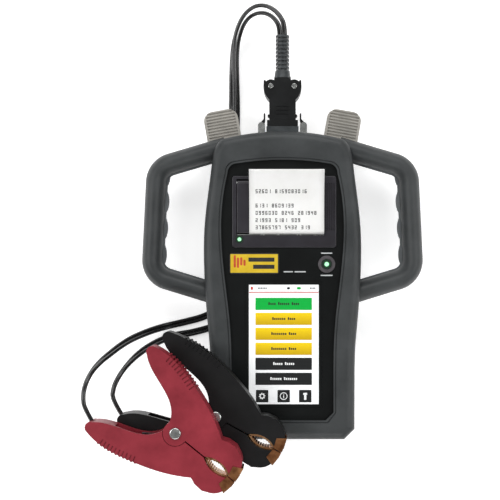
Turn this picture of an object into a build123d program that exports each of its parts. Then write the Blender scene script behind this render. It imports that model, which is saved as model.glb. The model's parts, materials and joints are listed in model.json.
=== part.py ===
"""Handheld battery and charging-system tester: a portrait touch screen, a panel printer on top of it, a
rubber boot with two D handles, two slide-out hanging hooks, and a plugged pair of leads with spring clamps.

Frame: the tester lies on its back. +Z is up out of the face, +Y points to the connector end and +X to the
right of the face. The origin is on the back plane, in the middle of the boot. All sizes are millimetres.
"""

import os
from math import atan2, cos, degrees, radians, sin, tan

from build123d import *

os.makedirs("parts", exist_ok=True)

# ---- driving sizes: body --------------------------------------------------------------------------------
body_length = 238.0
crown_half = 46.6  # half-width where the crowned top edge ends
crown_drop = 6.0  # how far the crowned edge falls from its middle to its ends
shoulder_half = 54.9
chest_half = 60.7
waist_half = 57.4
foot_half = 55.7
boot_back_z = 12.0  # underside of the boot's flange
split_z = 28.0  # joint plane of the two casing halves
face_z = 45.0
boot_front_z = 48.0
boot_wall = 5.0
boot_round = 6.5
rim_lip = 1.1
rim_groove = 0.9
casing_wall = 2.5
front_wall = 3.0
flange = 3.0
fit_gap = 0.2
move_gap = 0.35

body_top = body_length / 2
body_foot = -body_length / 2
shoulder_y = body_top - 27.0
chest_y = body_top - 80.0
waist_y = body_foot + 84.0

# ---- face ------------------------------------------------------------------------------------------------
face_top = body_top - 22.6
face_crown_drop = 3.0
face_top_half = 36.8
face_shoulder_half = 42.2
face_chest_half = 47.2
face_waist_half = 41.0
face_foot_half = 39.2
face_foot = body_foot + 15.2

# ---- printer ---------------------------------------------------------------------------------------------
bezel_left = -38.7
bezel_right = 41.4
bezel_top = 84.1
bezel_foot = 29.0
bezel_proud = 1.4
door_left = -34.9
door_right = 31.6
door_free_y = 40.2
door_top_y = 80.6
door_thick = 2.0
door_gap = 0.5
hinge_gap = 1.1  # room for the lifted door's hinge end
hinge_y = 78.9
hinge_z = 45.0
hinge_pin_r = 0.8
knuckle_r = 1.7
platen_r = 3.2
platen_y = 44.4
platen_z = 39.6
platen_shaft_r = 1.2
shaft_gap = 0.06
roll_r = 15.0
core_r = 7.5
core_wall = 1.2
roll_y = 62.0
roll_z = 21.0
paper_width = 57.5
paper_thick = 0.25
paper_mid_x = 3.25
paper_reach = 88.2
paper_lift = 58.0

# ---- screen, badge, buttons ------------------------------------------------------------------------------
screen_width = 53.8
screen_height = 92.0
screen_mid_x = 1.0
screen_top = 0.4
screen_frame_w = 2.7
screen_sink = 0.7
badge_width = 38.3
badge_height = 16.1
badge_x = -21.8
badge_y = 16.8
badge_thick = 0.8
power_x = 34.0
power_y = 16.2
power_ring_r = 6.6
power_button_r = 3.6
power_led_r = 1.8
power_travel = 0.8
feed_x = -33.1
feed_y = 35.3
feed_button_r = 2.9
feed_led_r = 1.5
feed_travel = 0.6

# ---- handles ---------------------------------------------------------------------------------------------
grip_wide = 15.7
grip_deep = 24.0
grip_z = 29.0
grip_split_z = 26.0
grip_bar_x = 102.8
grip_bar_lean = 4.0
grip_top_y = 92.4
grip_foot_y = 8.0
grip_root_x = 44.0
grip_root_top_y = 108.6
grip_root_foot_y = -10.0
grip_ledge = 0.8
grip_bend_r = 16.0
finger_pitch = 21.0
finger_rise = 1.9

# ---- hanging hooks ---------------------------------------------------------------------------------------
hook_width = 27.0
hook_thick = 7.0
hook_back_z = 17.0
hook_out = 22.4  # how far the hook stands past the crowned edge
hook_in = 8.0
hook_root_x = 46.0
hook_root_y = body_top - 3.0
hook_lean = 10.0
hook_travel = 12.0

# ---- connector -------------------------------------------------------------------------------------------
plug_z = 30.0
socket_half = 12.0
socket_deep = 16.0
socket_inner_y = body_top - 16.0
socket_flange_y = body_top + 4.7
socket_end_y = socket_flange_y + 4.8
plug_half = 10.3
plug_deep = 14.0
plug_shoulder_y = socket_end_y + 17.5
ear_half = 14.8
ear_end_y = plug_shoulder_y + 13.6
ring_x = 9.1
ring_y = plug_shoulder_y + 9.0
ring_r = 5.2
neck_half = 6.5
neck_end_y = plug_shoulder_y + 15.7
relief_r = 5.4
relief_core_r = 3.6
relief_end_y = neck_end_y + 33.8
relief_ribs = 9
latch_x = 16.4
latch_y = body_top + 6.0
latch_blade_x = 14.1
latch_tip_y = latch_y + 9.8
latch_deep = 6.0
latch_pin_r = 1.2

# ---- back and power --------------------------------------------------------------------------------------
printer_box_half = 34.5
printer_box_top = body_top - 22.0
printer_box_foot = 22.0
spine_half = 28.0
spine_foot = body_foot + 18.0
cell_r = 7.2
cell_length = 50.0
cell_pitch = 14.8
battery_door_half = 24.5
battery_door_foot = spine_foot + 3.5
battery_door_top = 9.5
screw_r = 1.5
screw_head_r = 2.9

# ---- clamps ----------------------------------------------------------------------------------------------
clamp_thick = 20.0
clamp_cheek = 2.8
pivot_boss_r = 9.0
rivet_r = 2.6
rivet_head_r = 4.3
rivet_head_rise = 1.2
jaw_plate = 1.2
jaw_wide = 13.0
black_clamp_z = 59.8
clamp_gap = 2.6
black_clamp_x, black_clamp_y, black_clamp_turn = -49.9, -98.4, -28.6
red_clamp_x, red_clamp_y, red_clamp_turn = -77.8, -107.5, -39.1
red_clamp_z = black_clamp_z + clamp_thick + clamp_gap

# ---- leads -----------------------------------------------------------------------------------------------
lead_r = 2.6


def save(part, name):
    part.label = name
    export_step(part, "parts/" + name + ".step")


def body_face(grow, mode=Mode.ADD):
    """The boot's outline moved outwards by grow, as a face in the sketch that is open."""
    with BuildLine() as outline:
        ThreePointArc(
            (-crown_half - grow * 0.7, body_top - crown_drop + grow),
            (0, body_top + grow),
            (crown_half + grow * 0.7, body_top - crown_drop + grow),
        )
        for side in (1, -1):
            Spline(
                (side * (crown_half + grow * 0.7), body_top - crown_drop + grow),
                (side * (shoulder_half + grow), shoulder_y),
                (side * (chest_half + grow), chest_y),
                (side * (waist_half + grow), waist_y),
                (side * (foot_half + grow), body_foot + 8.0),
                tangents=[(side * 0.85, -0.5), (0, -1)],
            )
            Polyline(
                (side * (foot_half + grow), body_foot + 8.0),
                (side * (foot_half + grow - 8.0), body_foot - grow),
                (0, body_foot - grow),
            )
    make_face(outline.edges(), mode=mode)


def face_face(grow, mode=Mode.ADD):
    """The outline of the face inside the boot's rim, moved outwards by grow."""
    with BuildLine() as outline:
        ThreePointArc(
            (-face_top_half, face_top - face_crown_drop + grow),
            (0, face_top + grow),
            (face_top_half, face_top - face_crown_drop + grow),
        )
        for side in (1, -1):
            ThreePointArc(
                (side * face_top_half, face_top - face_crown_drop + grow),
                (side * (face_shoulder_half + grow - 1.5), face_top - 5.6 + grow / 2),
                (side * (face_shoulder_half + grow), face_top - 10.0),
            )
            Spline(
                (side * (face_shoulder_half + grow), face_top - 10.0),
                (side * (face_chest_half + grow), chest_y + 3.0),
                (side * (face_waist_half + grow), waist_y + 11.0),
                (side * (face_foot_half + grow), face_foot + 6.0),
                tangents=[(side * 0.25, -1), (0, -1)],
            )
            Polyline(
                (side * (face_foot_half + grow), face_foot + 6.0),
                (side * (face_foot_half + grow - 6.0), face_foot - grow),
                (0, face_foot - grow),
            )
    make_face(outline.edges(), mode=mode)


def back_face(grow):
    """The T-shaped outline of the raised back: the wide printer box above the narrow battery spine."""
    wide, narrow = printer_box_half + grow, spine_half + grow
    top, step, foot = printer_box_top + grow, printer_box_foot - grow, spine_foot - grow
    with BuildLine() as outline:
        Polyline(
            (-wide, top), (wide, top), (wide, step), (narrow, step), (narrow, foot),
            (-narrow, foot), (-narrow, step), (-wide, step), close=True,
        )
    make_face(outline.edges())


# ---- casing ----------------------------------------------------------------------------------------------
casing_grow = -boot_wall - fit_gap
tray_z = boot_back_z + flange + fit_gap
boss_spots = [(sx * bx, by) for bx, by in ((43.0, body_foot + 23.0), (48.0, 52.0)) for sx in (1, -1)]
hook_planes = {
    side: Plane(
        origin=(side * hook_root_x, hook_root_y, hook_back_z + hook_thick / 2),
        x_dir=(cos(radians(hook_lean)), -side * sin(radians(hook_lean)), 0),
        z_dir=(0, 0, 1),
    )
    for side in (1, -1)
}
hook_slot_length = hook_in + hook_travel + move_gap + 2 * boot_wall + 4.0
hook_slot_mid = hook_slot_length / 2 - hook_in - hook_travel - move_gap
socket_centre = (0, (socket_inner_y + socket_end_y) / 2, plug_z)

with BuildPart() as rear_shell:
    with BuildSketch(Plane.XY.offset(tray_z)):
        body_face(casing_grow)
    extrude(amount=split_z - tray_z)
    with BuildSketch(Plane.XY):
        back_face(0)
    extrude(amount=tray_z)
    with BuildSketch(Plane.XY.offset(tray_z + casing_wall)):
        body_face(casing_grow - casing_wall)
    extrude(amount=split_z, mode=Mode.SUBTRACT)
    with BuildSketch(Plane.XY.offset(casing_wall)):
        back_face(-casing_wall)
    extrude(amount=split_z, mode=Mode.SUBTRACT)
    with BuildSketch(Plane.XY.offset(tray_z)):
        with Locations(*boss_spots):
            Circle(screw_head_r + 2.0)
    extrude(amount=split_z - tray_z)
    with BuildSketch(Plane.XY.offset(tray_z)):
        with Locations(*boss_spots):
            Circle(screw_r + fit_gap)
    extrude(amount=split_z, mode=Mode.SUBTRACT)
    with BuildSketch(Plane.XY.offset(tray_z)):
        with Locations(*boss_spots):
            Circle(screw_head_r + fit_gap)
    extrude(amount=2.5, mode=Mode.SUBTRACT)
    for side in (1, -1):
        with BuildSketch(hook_planes[side]):
            with Locations((0, hook_slot_mid)):
                Rectangle(hook_width + 2 * move_gap, hook_slot_length)
        extrude(amount=hook_thick / 2 + move_gap, both=True, mode=Mode.SUBTRACT)
    with Locations(socket_centre):
        Box(2 * (socket_half + fit_gap), 40, socket_deep + 2 * fit_gap, mode=Mode.SUBTRACT)
    with BuildSketch(Plane.XY):
        with Locations((0, (battery_door_top + battery_door_foot) / 2)):
            Rectangle(
                2 * (battery_door_half + fit_gap),
                battery_door_top - battery_door_foot + 2 * fit_gap,
            )
    extrude(amount=casing_wall + 1, mode=Mode.SUBTRACT)
save(rear_shell.part, "rear_shell")

with BuildPart() as front_shell:
    with BuildSketch(Plane.XY.offset(split_z)):
        body_face(casing_grow)
    extrude(amount=face_z - split_z)
    with BuildSketch(Plane.XY.offset(split_z)):
        body_face(casing_grow - casing_wall)
    extrude(amount=face_z - split_z - front_wall, mode=Mode.SUBTRACT)
    with BuildSketch(Plane.XY.offset(split_z)):
        with Locations(*boss_spots):
            Circle(screw_r + 2.2)
    extrude(amount=face_z - split_z - 1.0)
    with BuildSketch(Plane.XY.offset(split_z)):
        with Locations(*boss_spots):
            Circle(screw_r + shaft_gap)
    extrude(amount=10, mode=Mode.SUBTRACT)
    with Locations(socket_centre):
        Box(2 * (socket_half + fit_gap), 40, socket_deep + 2 * fit_gap, mode=Mode.SUBTRACT)
    # the printer bay, the screen window with its ledge, the badge seat and the button holes
    with BuildSketch(Plane.XY.offset(face_z - front_wall)):
        with Locations(((bezel_left + bezel_right) / 2, (bezel_top + bezel_foot) / 2)):
            Rectangle(
                bezel_right - bezel_left - 3.0 + 2 * fit_gap,
                bezel_top - bezel_foot - 3.0 + 2 * fit_gap,
            )
        with Locations((screen_mid_x, screen_top - screen_height / 2)):
            Rectangle(screen_width + 2 * fit_gap, screen_height + 2 * fit_gap)
        with Locations((power_x, power_y)):
            Circle(power_button_r + 0.8)
    extrude(amount=front_wall, mode=Mode.SUBTRACT)
    with BuildSketch(Plane.XY.offset(face_z - screen_sink)):
        with Locations((screen_mid_x, screen_top - screen_height / 2)):
            Rectangle(screen_width + 2 * screen_frame_w, screen_height + 2 * screen_frame_w)
            fillet(vertices(), 1.5)
    extrude(amount=screen_sink, mode=Mode.SUBTRACT)
    with BuildSketch(Plane.XY.offset(face_z - 0.4)):
        with Locations((badge_x, badge_y)):
            Rectangle(badge_width + 2 * fit_gap, badge_height + 2 * fit_gap)
    extrude(amount=0.4, mode=Mode.SUBTRACT)
save(front_shell.part, "front_shell")

grip_spine = [
    (grip_root_x, grip_root_top_y),
    (grip_bar_x - grip_bar_lean, grip_top_y),
    (grip_bar_x, grip_foot_y),
    (grip_root_x, grip_root_foot_y),
]


def grip_solid(side, ledge=0):
    """One D handle, an oval bar swept round its two bends, made wider by ledge on its inner side."""
    with BuildPart() as bar:
        with BuildLine() as path:
            FilletPolyline(*[(side * x, y, grip_z) for x, y in grip_spine], radius=grip_bend_r)
        with BuildSketch(Plane(origin=path.line @ 0, x_dir=(0, 0, 1), z_dir=path.line % 0)):
            with Locations((0, side * ledge)):
                Ellipse(grip_deep / 2, grip_wide / 2 + ledge)
        sweep(path=path.line)
    return bar.part


grips = {side: grip_solid(side) for side in (1, -1)}

with BuildPart() as rubber_boot:
    with BuildSketch(Plane.XY.offset(boot_back_z)):
        body_face(0)
    extrude(amount=boot_front_z - boot_back_z)
    fillet(rubber_boot.faces().sort_by(Axis.Z)[-1].edges(), boot_round)
    fillet(rubber_boot.faces().sort_by(Axis.Z)[0].edges(), 3.0)
    add(grips[1])
    add(grips[-1])
    # the backs of the handles are pieces of their own
    with BuildSketch(Plane.XY.offset(grip_z - grip_deep)):
        Rectangle(2 * (grip_bar_x + grip_wide), body_length + grip_wide)
        body_face(0.3, mode=Mode.SUBTRACT)
    extrude(amount=grip_split_z - grip_z + grip_deep, mode=Mode.SUBTRACT)
    with BuildSketch(Plane.XY.offset(boot_back_z + flange)):
        body_face(-boot_wall)
    extrude(amount=face_z + fit_gap - boot_back_z - flange, mode=Mode.SUBTRACT)
    with BuildSketch(Plane.XY.offset(face_z - 1)):
        face_face(0)
    extrude(amount=boot_front_z, mode=Mode.SUBTRACT)
    # a groove round the face that leaves a thin lip
    with BuildSketch(Plane.XY.offset(boot_front_z - rim_groove)):
        face_face(rim_lip + rim_groove)
        face_face(rim_lip, mode=Mode.SUBTRACT)
    extrude(amount=rim_groove, mode=Mode.SUBTRACT)
    with BuildSketch(Plane.XY):
        back_face(fit_gap)
    extrude(amount=boot_front_z / 2, mode=Mode.SUBTRACT)
    with Locations((0, body_top, plug_z)):
        Box(2 * (socket_half + fit_gap), 40, socket_deep + 2 * fit_gap, mode=Mode.SUBTRACT)
    for side in (1, -1):
        with BuildSketch(hook_planes[side]):
            with Locations((0, hook_slot_mid)):
                Rectangle(hook_width + 2 * move_gap, hook_slot_length)
        extrude(amount=hook_thick / 2 + move_gap, both=True, mode=Mode.SUBTRACT)
save(rubber_boot.part, "rubber_boot")

# The back half of each handle, with finger waves along its inner side.
for side, name in ((1, "right_grip_back"), (-1, "left_grip_back")):
    with BuildPart() as grip_back:
        add(grip_solid(side, grip_ledge))
        with BuildSketch(Plane.XY.offset(grip_z - grip_deep / 4)):
            for i in range(4):
                wave_y = grip_foot_y + 8.0 + finger_pitch * i
                lean = grip_bar_lean * (wave_y + finger_pitch / 2 - grip_foot_y) / (grip_top_y - grip_foot_y)
                inner_x = side * (grip_bar_x - lean - grip_wide / 2 - 2 * grip_ledge + 0.8)
                with BuildLine() as wave:
                    ThreePointArc(
                        (inner_x, wave_y),
                        (inner_x - side * finger_rise, wave_y + finger_pitch / 2 - 2.0),
                        (inner_x, wave_y + finger_pitch - 4.0),
                    )
                    Polyline(
                        (inner_x, wave_y + finger_pitch - 4.0),
                        (inner_x + side * 4.0, wave_y + finger_pitch - 4.0),
                        (inner_x + side * 4.0, wave_y),
                        (inner_x, wave_y),
                    )
                make_face(wave.edges())
        extrude(amount=grip_deep / 4 - grip_z + grip_split_z)
        with BuildSketch(Plane.XY.offset(grip_split_z)):
            with Locations((side * grip_bar_x, 50)):
                Rectangle(grip_bar_x * 2, body_length)
        extrude(amount=grip_deep, mode=Mode.SUBTRACT)
        with BuildSketch(Plane.XY.offset(grip_z - grip_deep)):
            body_face(0.3)
        extrude(amount=grip_deep * 2, mode=Mode.SUBTRACT)
        with BuildSketch(hook_planes[side]):
            with Locations((0, hook_slot_mid)):
                Rectangle(hook_width + 2 * move_gap, hook_slot_length)
        extrude(amount=hook_thick / 2 + move_gap, both=True, mode=Mode.SUBTRACT)
    save(grip_back.part, name)

with BuildPart() as case_screws:
    with BuildSketch(Plane.XY.offset(tray_z + 0.3)):
        with Locations(*boss_spots):
            Circle(screw_head_r)
    extrude(amount=2.0)
    with BuildSketch(Plane.XY.offset(tray_z + 2.0)):
        with Locations(*boss_spots):
            Circle(screw_r)
    extrude(amount=split_z + 8.0 - tray_z - 2.0)
save(case_screws.part, "case_screws")

# ---- hanging hooks ---------------------------------------------------------------------------------------
rib_pitch = 2.35
rib_cut = 1.4
for side, name in ((1, "right_hook"), (-1, "left_hook")):
    with BuildPart() as hook:
        with BuildSketch(hook_planes[side]):
            with Locations((0, (hook_out - hook_in) / 2)):
                Rectangle(hook_width, hook_out + hook_in)
            fillet(vertices().group_by(Axis.Y)[-1], 7.5)
        extrude(amount=hook_thick / 2, both=True)
        with BuildSketch(hook_planes[side].offset(hook_thick / 2 - rib_cut)):
            with GridLocations(1, rib_pitch, 1, 9):
                with Locations((0, hook_out / 2)):
                    Rectangle(hook_width - 4.0, rib_pitch / 2)
        extrude(amount=rib_cut, mode=Mode.SUBTRACT)
    save(hook.part, name)

# ---- connector: socket, latches, plug ---------------------------------------------------------------------
across = Plane.XZ.offset(-socket_inner_y)
with BuildPart() as socket_shell:
    with BuildSketch(across):
        with Locations((0, plug_z)):
            Rectangle(2 * socket_half - 1.0, socket_deep - 1.0)
    extrude(amount=-(socket_end_y - socket_inner_y))
    with BuildSketch(Plane.XZ.offset(-socket_flange_y)):
        with Locations((0, plug_z)):
            Rectangle(2 * socket_half, socket_deep)
    extrude(amount=-(socket_end_y - socket_flange_y))
    with BuildSketch(Plane.XZ.offset(-socket_end_y)):
        with Locations((0, plug_z)):
            Rectangle(2 * plug_half - 2.0, plug_deep - 5.0)
    extrude(amount=socket_end_y - socket_inner_y - 3.0, mode=Mode.SUBTRACT)
save(socket_shell.part, "socket_shell")

with BuildPart() as socket_flange:
    with BuildSketch(Plane.XZ.offset(-body_top - fit_gap)):
        with Locations((0, plug_z)):
            Rectangle(2 * socket_half + 1.0, socket_deep + 1.0)
            Rectangle(2 * socket_half - 0.9, socket_deep - 0.9, mode=Mode.SUBTRACT)
    extrude(amount=-(socket_flange_y - body_top - 2 * fit_gap))
save(socket_flange.part, "socket_flange")

with BuildPart() as socket_contacts:
    with BuildSketch(Plane.XZ.offset(-socket_inner_y - 3.0)):
        with GridLocations(2.2, 4.0, 7, 2):
            with Locations((0, plug_z)):
                Rectangle(0.9, 0.9)
    extrude(amount=-14.0)
save(socket_contacts.part, "socket_contacts")

latch_eye_r = 2.7
bracket_gap = 0.3
with BuildPart() as latch_brackets:
    for side in (1, -1):
        with BuildSketch(Plane.XY.offset(plug_z - latch_deep / 2 - bracket_gap - 1.2)):
            with Locations((side * latch_x, latch_y)):
                Circle(latch_eye_r - 0.4)
            with Locations((side * latch_x, (latch_y + body_top) / 2 + 0.2)):
                Rectangle(2 * latch_eye_r, latch_y - body_top - 0.4)
        extrude(amount=1.2)
        with BuildSketch(Plane.XY.offset(plug_z + latch_deep / 2 + bracket_gap)):
            with Locations((side * latch_x, latch_y)):
                Circle(latch_eye_r - 0.4)
            with Locations((side * latch_x, (latch_y + body_top) / 2 + 0.2)):
                Rectangle(2 * latch_eye_r, latch_y - body_top - 0.4)
        extrude(amount=1.2)
        with Locations((side * latch_x, body_top + 0.2 + 0.6, plug_z)):
            Box(2 * latch_eye_r, 1.2, latch_deep + 2 * bracket_gap + 2.4)
        with BuildSketch(Plane.XY.offset(plug_z - latch_deep / 2 - bracket_gap - 0.4)):
            with Locations((side * latch_x, latch_y)):
                Circle(latch_pin_r)
        extrude(amount=latch_deep + 2 * bracket_gap + 0.8)
save(latch_brackets.part, "latch_brackets")

for side, name in ((1, "right_latch"), (-1, "left_latch")):
    with BuildPart() as latch:
        with BuildSketch(Plane.XY.offset(plug_z - latch_deep / 2)):
            with Locations((side * latch_x, latch_y)):
                Circle(latch_eye_r)
            with BuildLine():
                Polyline(
                    (side * (latch_x + 1.0), latch_y + 2.0),
                    (side * (latch_blade_x + 0.6), latch_y + 5.0),
                    (side * (latch_blade_x + 0.6), latch_tip_y - 1.0),
                    (side * latch_blade_x, latch_tip_y),
                    (side * (latch_blade_x - 0.6), latch_tip_y - 1.0),
                    (side * (latch_blade_x - 0.6), latch_y + 4.2),
                    (side * (latch_x - 2.0), latch_y + 1.0),
                    close=True,
                )
            make_face()
            with Locations((side * latch_x, latch_y)):
                Circle(latch_pin_r + shaft_gap, mode=Mode.SUBTRACT)
        extrude(amount=latch_deep)
    save(latch.part, name)


def hood_face(inset):
    """Outline of the plug hood: a straight body, two ears that bow outwards, thumb rings and a neck."""
    with Locations((0, (socket_end_y + fit_gap + plug_shoulder_y) / 2)):
        Rectangle(2 * (plug_half - inset), plug_shoulder_y - socket_end_y - fit_gap - 2 * inset)
    with Locations((0, (plug_shoulder_y + neck_end_y) / 2 - 1)):
        Rectangle(2 * (neck_half - inset), neck_end_y - plug_shoulder_y + 2 - inset)
    for side in (1, -1):
        with BuildLine() as ear:
            ThreePointArc(
                (side * plug_half, plug_shoulder_y - 1.5),
                (side * (ear_half - 0.8), plug_shoulder_y + 4.0),
                (side * ear_half, plug_shoulder_y + 9.0),
            )
            Polyline(
                (side * ear_half, plug_shoulder_y + 9.0),
                (side * (ear_half - 0.2), ear_end_y),
                (side * (ear_half - 1.5), ear_end_y),
                (side * (ring_x + 2.0), ring_y),
                (side * (neck_half - 1.0), plug_shoulder_y + 6.0),
                (side * (neck_half - 1.0), plug_shoulder_y - 1.5),
                (side * plug_half, plug_shoulder_y - 1.5),
            )
        make_face(ear.edges())
        with Locations((side * ring_x, ring_y)):
            Circle(ring_r - inset)


for name, low, high in (
    ("plug_hood_rear", plug_z - plug_deep / 2, plug_z),
    ("plug_hood_front", plug_z, plug_z + plug_deep / 2),
):
    with BuildPart() as hood:
        with BuildSketch(Plane.XY.offset(low)):
            hood_face(0)
        extrude(amount=high - low)
        with BuildSketch(Plane.XY.offset(plug_z - plug_deep / 2 + 2.0)):
            with Locations((0, (socket_end_y + plug_shoulder_y) / 2 - 1)):
                Rectangle(2 * plug_half - 4.0, plug_shoulder_y - socket_end_y - 3.0)
            with Locations((0, (plug_shoulder_y + neck_end_y) / 2)):
                Rectangle(2 * neck_half - 4.0, neck_end_y - plug_shoulder_y + 8)
        extrude(amount=plug_deep - 4.0, mode=Mode.SUBTRACT)
        with BuildSketch(Plane.XY.offset(plug_z - plug_deep / 2 - 1)):
            with Locations((ring_x, ring_y), (-ring_x, ring_y)):
                Circle(screw_r + fit_gap)
        extrude(amount=plug_deep + 2, mode=Mode.SUBTRACT)
        # grip lines across the body and the two side knobs
        if high > plug_z:
            with BuildSketch(Plane.XY.offset(high - 0.5)):
                with Locations(*[(0, socket_end_y + 4.5 + 3.0 * i) for i in range(3)]):
                    Rectangle(9.0, 0.8)
            extrude(amount=1, mode=Mode.SUBTRACT)
        with BuildSketch(Plane.XY.offset(max(low, plug_z - 3.0))):
            with Locations((plug_half + 0.2, socket_end_y + 4.0), (-plug_half - 0.2, socket_end_y + 4.0)):
                Circle(1.1)
        extrude(amount=3.0)
    save(hood.part, name)

with BuildPart() as plug_screws:
    with BuildSketch(Plane.XY.offset(plug_z - plug_deep / 2 + 0.5)):
        with Locations((ring_x, ring_y), (-ring_x, ring_y)):
            Circle(screw_r)
    extrude(amount=plug_deep - 0.5)
    with BuildSketch(Plane.XY.offset(plug_z + plug_deep / 2)):
        with Locations((ring_x, ring_y), (-ring_x, ring_y)):
            Circle(screw_r + 0.5)
    extrude(amount=1.0)
    fillet(plug_screws.faces().group_by(Axis.Z)[-1].edges(), 0.4)
    with BuildSketch(Plane.XY.offset(plug_z + plug_deep / 2)):
        with Locations((ring_x, ring_y), (-ring_x, ring_y)):
            RegularPolygon(0.9, 6)
    extrude(amount=1.0, mode=Mode.SUBTRACT)
save(plug_screws.part, "plug_screws")

with BuildPart() as plug_contacts:
    with Locations((0, (socket_end_y + plug_shoulder_y) / 2, plug_z)):
        Box(2 * plug_half - 6.0, plug_shoulder_y - socket_end_y - 8.0, 5.0)
save(plug_contacts.part, "plug_contacts")

# ---- strain relief: a ribbed rubber sleeve, its root held in the neck of the hood --------------------------
relief_root_y = neck_end_y + 0.3
rib_step = (relief_end_y - relief_root_y - 6.0) / relief_ribs
with BuildPart() as strain_relief:
    with BuildSketch(Plane.XZ.offset(-relief_root_y)):
        with Locations((0, plug_z)):
            Circle(relief_r + 1.1)
    extrude(amount=-6.0, taper=8)
    with BuildSketch(Plane.XZ.offset(-relief_root_y)):
        with Locations((0, plug_z)):
            Circle(relief_core_r)
    extrude(amount=-(relief_end_y - relief_root_y))
    for i in range(relief_ribs):
        with BuildSketch(Plane.XZ.offset(-relief_root_y - 6.0 - rib_step * (i + 0.45))):
            with Locations((0, plug_z)):
                Circle(relief_r)
        extrude(amount=-rib_step * 0.55)
save(strain_relief.part, "strain_relief")

# ---- panel printer -----------------------------------------------------------------------------------------
bay_x = (bezel_left + bezel_right) / 2
bay_y = (bezel_top + bezel_foot) / 2
door_mid_x = (door_left + door_right) / 2
slot_y = door_free_y - 0.9
housing_half = printer_box_half - casing_wall - 0.6
housing_foot_z = casing_wall + 0.5

with BuildPart() as printer_bezel:
    with BuildSketch(Plane.XY.offset(face_z)):
        with Locations((bay_x, bay_y)):
            Rectangle(bezel_right - bezel_left, bezel_top - bezel_foot)
            fillet(vertices(), 2.0)
    extrude(amount=bezel_proud)
    fillet(printer_bezel.faces().sort_by(Axis.Z)[-1].edges(), 0.6)
    with BuildSketch(Plane.XY.offset(face_z - front_wall)):
        with Locations((bay_x, bay_y)):
            Rectangle(bezel_right - bezel_left - 3.0, bezel_top - bezel_foot - 3.0)
    extrude(amount=front_wall)
    # door opening and paper slot, down to the tear bar's seat
    with BuildSketch(Plane.XY.offset(face_z - front_wall)):
        with Locations((door_mid_x, (door_top_y + hinge_gap + slot_y - 1.05) / 2)):
            Rectangle(door_right - door_left + 2 * door_gap, door_top_y + hinge_gap - slot_y + 1.05)
    extrude(amount=2 * front_wall, mode=Mode.SUBTRACT)
    # finger ribs beside the door
    with BuildSketch(Plane.XY.offset(face_z + bezel_proud - 0.8)):
        with Locations((0.5 * (door_right + bezel_right), (door_top_y + door_free_y) / 2)):
            with GridLocations(1.6, 1, 5, 1):
                Rectangle(0.8, door_top_y - door_free_y - 4.0)
    extrude(amount=1, mode=Mode.SUBTRACT)
    # seat of the feed button
    with BuildSketch(Plane.XY.offset(face_z - front_wall)):
        with Locations((feed_x, feed_y)):
            Circle(feed_button_r + move_gap / 2)
    extrude(amount=2 * front_wall, mode=Mode.SUBTRACT)
    with BuildSketch(Plane.YZ.offset(door_left - 1.2)):
        with Locations((hinge_y, hinge_z)):
            Circle(hinge_pin_r + 0.03)
    extrude(amount=door_right - door_left + 2.4, mode=Mode.SUBTRACT)
save(printer_bezel.part, "printer_bezel")

with BuildPart() as printer_housing:
    with BuildSketch(Plane.XY.offset(housing_foot_z)):
        with Locations((0, bay_y)):
            Rectangle(2 * housing_half, bezel_top - bezel_foot - 4.0)
    extrude(amount=tray_z + casing_wall + 2.0 - housing_foot_z)
    with BuildSketch(Plane.XY.offset(tray_z + casing_wall + 0.5)):
        with Locations((bay_x, bay_y)):
            Rectangle(bezel_right - bezel_left - 4.0, bezel_top - bezel_foot - 4.0)
    extrude(amount=face_z - front_wall - 0.3 - tray_z - casing_wall - 0.5)
    with BuildSketch(Plane.XY.offset(housing_foot_z + 1.6)):
        with Locations((0, bay_y)):
            Rectangle(2 * housing_half - 2.4, bezel_top - bezel_foot - 7.0)
    extrude(amount=face_z, mode=Mode.SUBTRACT)
    with BuildSketch(Plane.XY.offset(tray_z + casing_wall + 2.0)):
        with Locations((bay_x, bay_y)):
            Rectangle(bezel_right - bezel_left - 6.4, bezel_top - bezel_foot - 7.0)
    extrude(amount=face_z, mode=Mode.SUBTRACT)
    # cross wall that keeps the roll in its tray
    with Locations((0, roll_y - roll_r - 2.4, (housing_foot_z + roll_z) / 2)):
        Box(2 * housing_half - 2.0, 1.6, roll_z - housing_foot_z)
save(printer_housing.part, "printer_housing")

with BuildPart() as door_hinge_pin:
    with BuildSketch(Plane.YZ.offset(door_left - 1.0)):
        with Locations((hinge_y, hinge_z)):
            Circle(hinge_pin_r)
    extrude(amount=door_right - door_left + 2.0)
save(door_hinge_pin.part, "door_hinge_pin")

with BuildPart() as printer_door:
    with BuildSketch(Plane.XY.offset(face_z)):
        with Locations((door_mid_x, (door_free_y + hinge_y) / 2)):
            Rectangle(door_right - door_left, hinge_y - door_free_y)
    extrude(amount=door_thick)
    fillet(printer_door.faces().sort_by(Axis.Z)[-1].edges(), 0.6)
    with BuildSketch(Plane.YZ.offset(door_left)):
        with Locations((hinge_y, hinge_z)):
            Circle(knuckle_r)
        with Locations((hinge_y - knuckle_r, (hinge_z + face_z) / 2 + 0.3)):
            Rectangle(2 * knuckle_r, face_z - hinge_z + 1.0)
    extrude(amount=door_right - door_left)
    # arms that carry the platen shaft
    for x in (door_left + 1.0, door_right - 2.6):
        with BuildSketch(Plane.YZ.offset(x)):
            with Locations((platen_y, platen_z)):
                Circle(platen_shaft_r + 1.2)
            with Locations((platen_y + 0.6, (platen_z + face_z) / 2 + 0.3)):
                Rectangle(3.6, face_z - platen_z + 0.6)
        extrude(amount=1.6)
    with BuildSketch(Plane.YZ.offset(door_left)):
        with Locations((platen_y, platen_z)):
            Circle(platen_shaft_r + shaft_gap)
    extrude(amount=door_right - door_left, mode=Mode.SUBTRACT)
    with BuildSketch(Plane.YZ.offset(door_left)):
        with Locations((hinge_y, hinge_z)):
            Circle(hinge_pin_r + shaft_gap)
    extrude(amount=door_right - door_left, mode=Mode.SUBTRACT)
save(printer_door.part, "printer_door")

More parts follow.
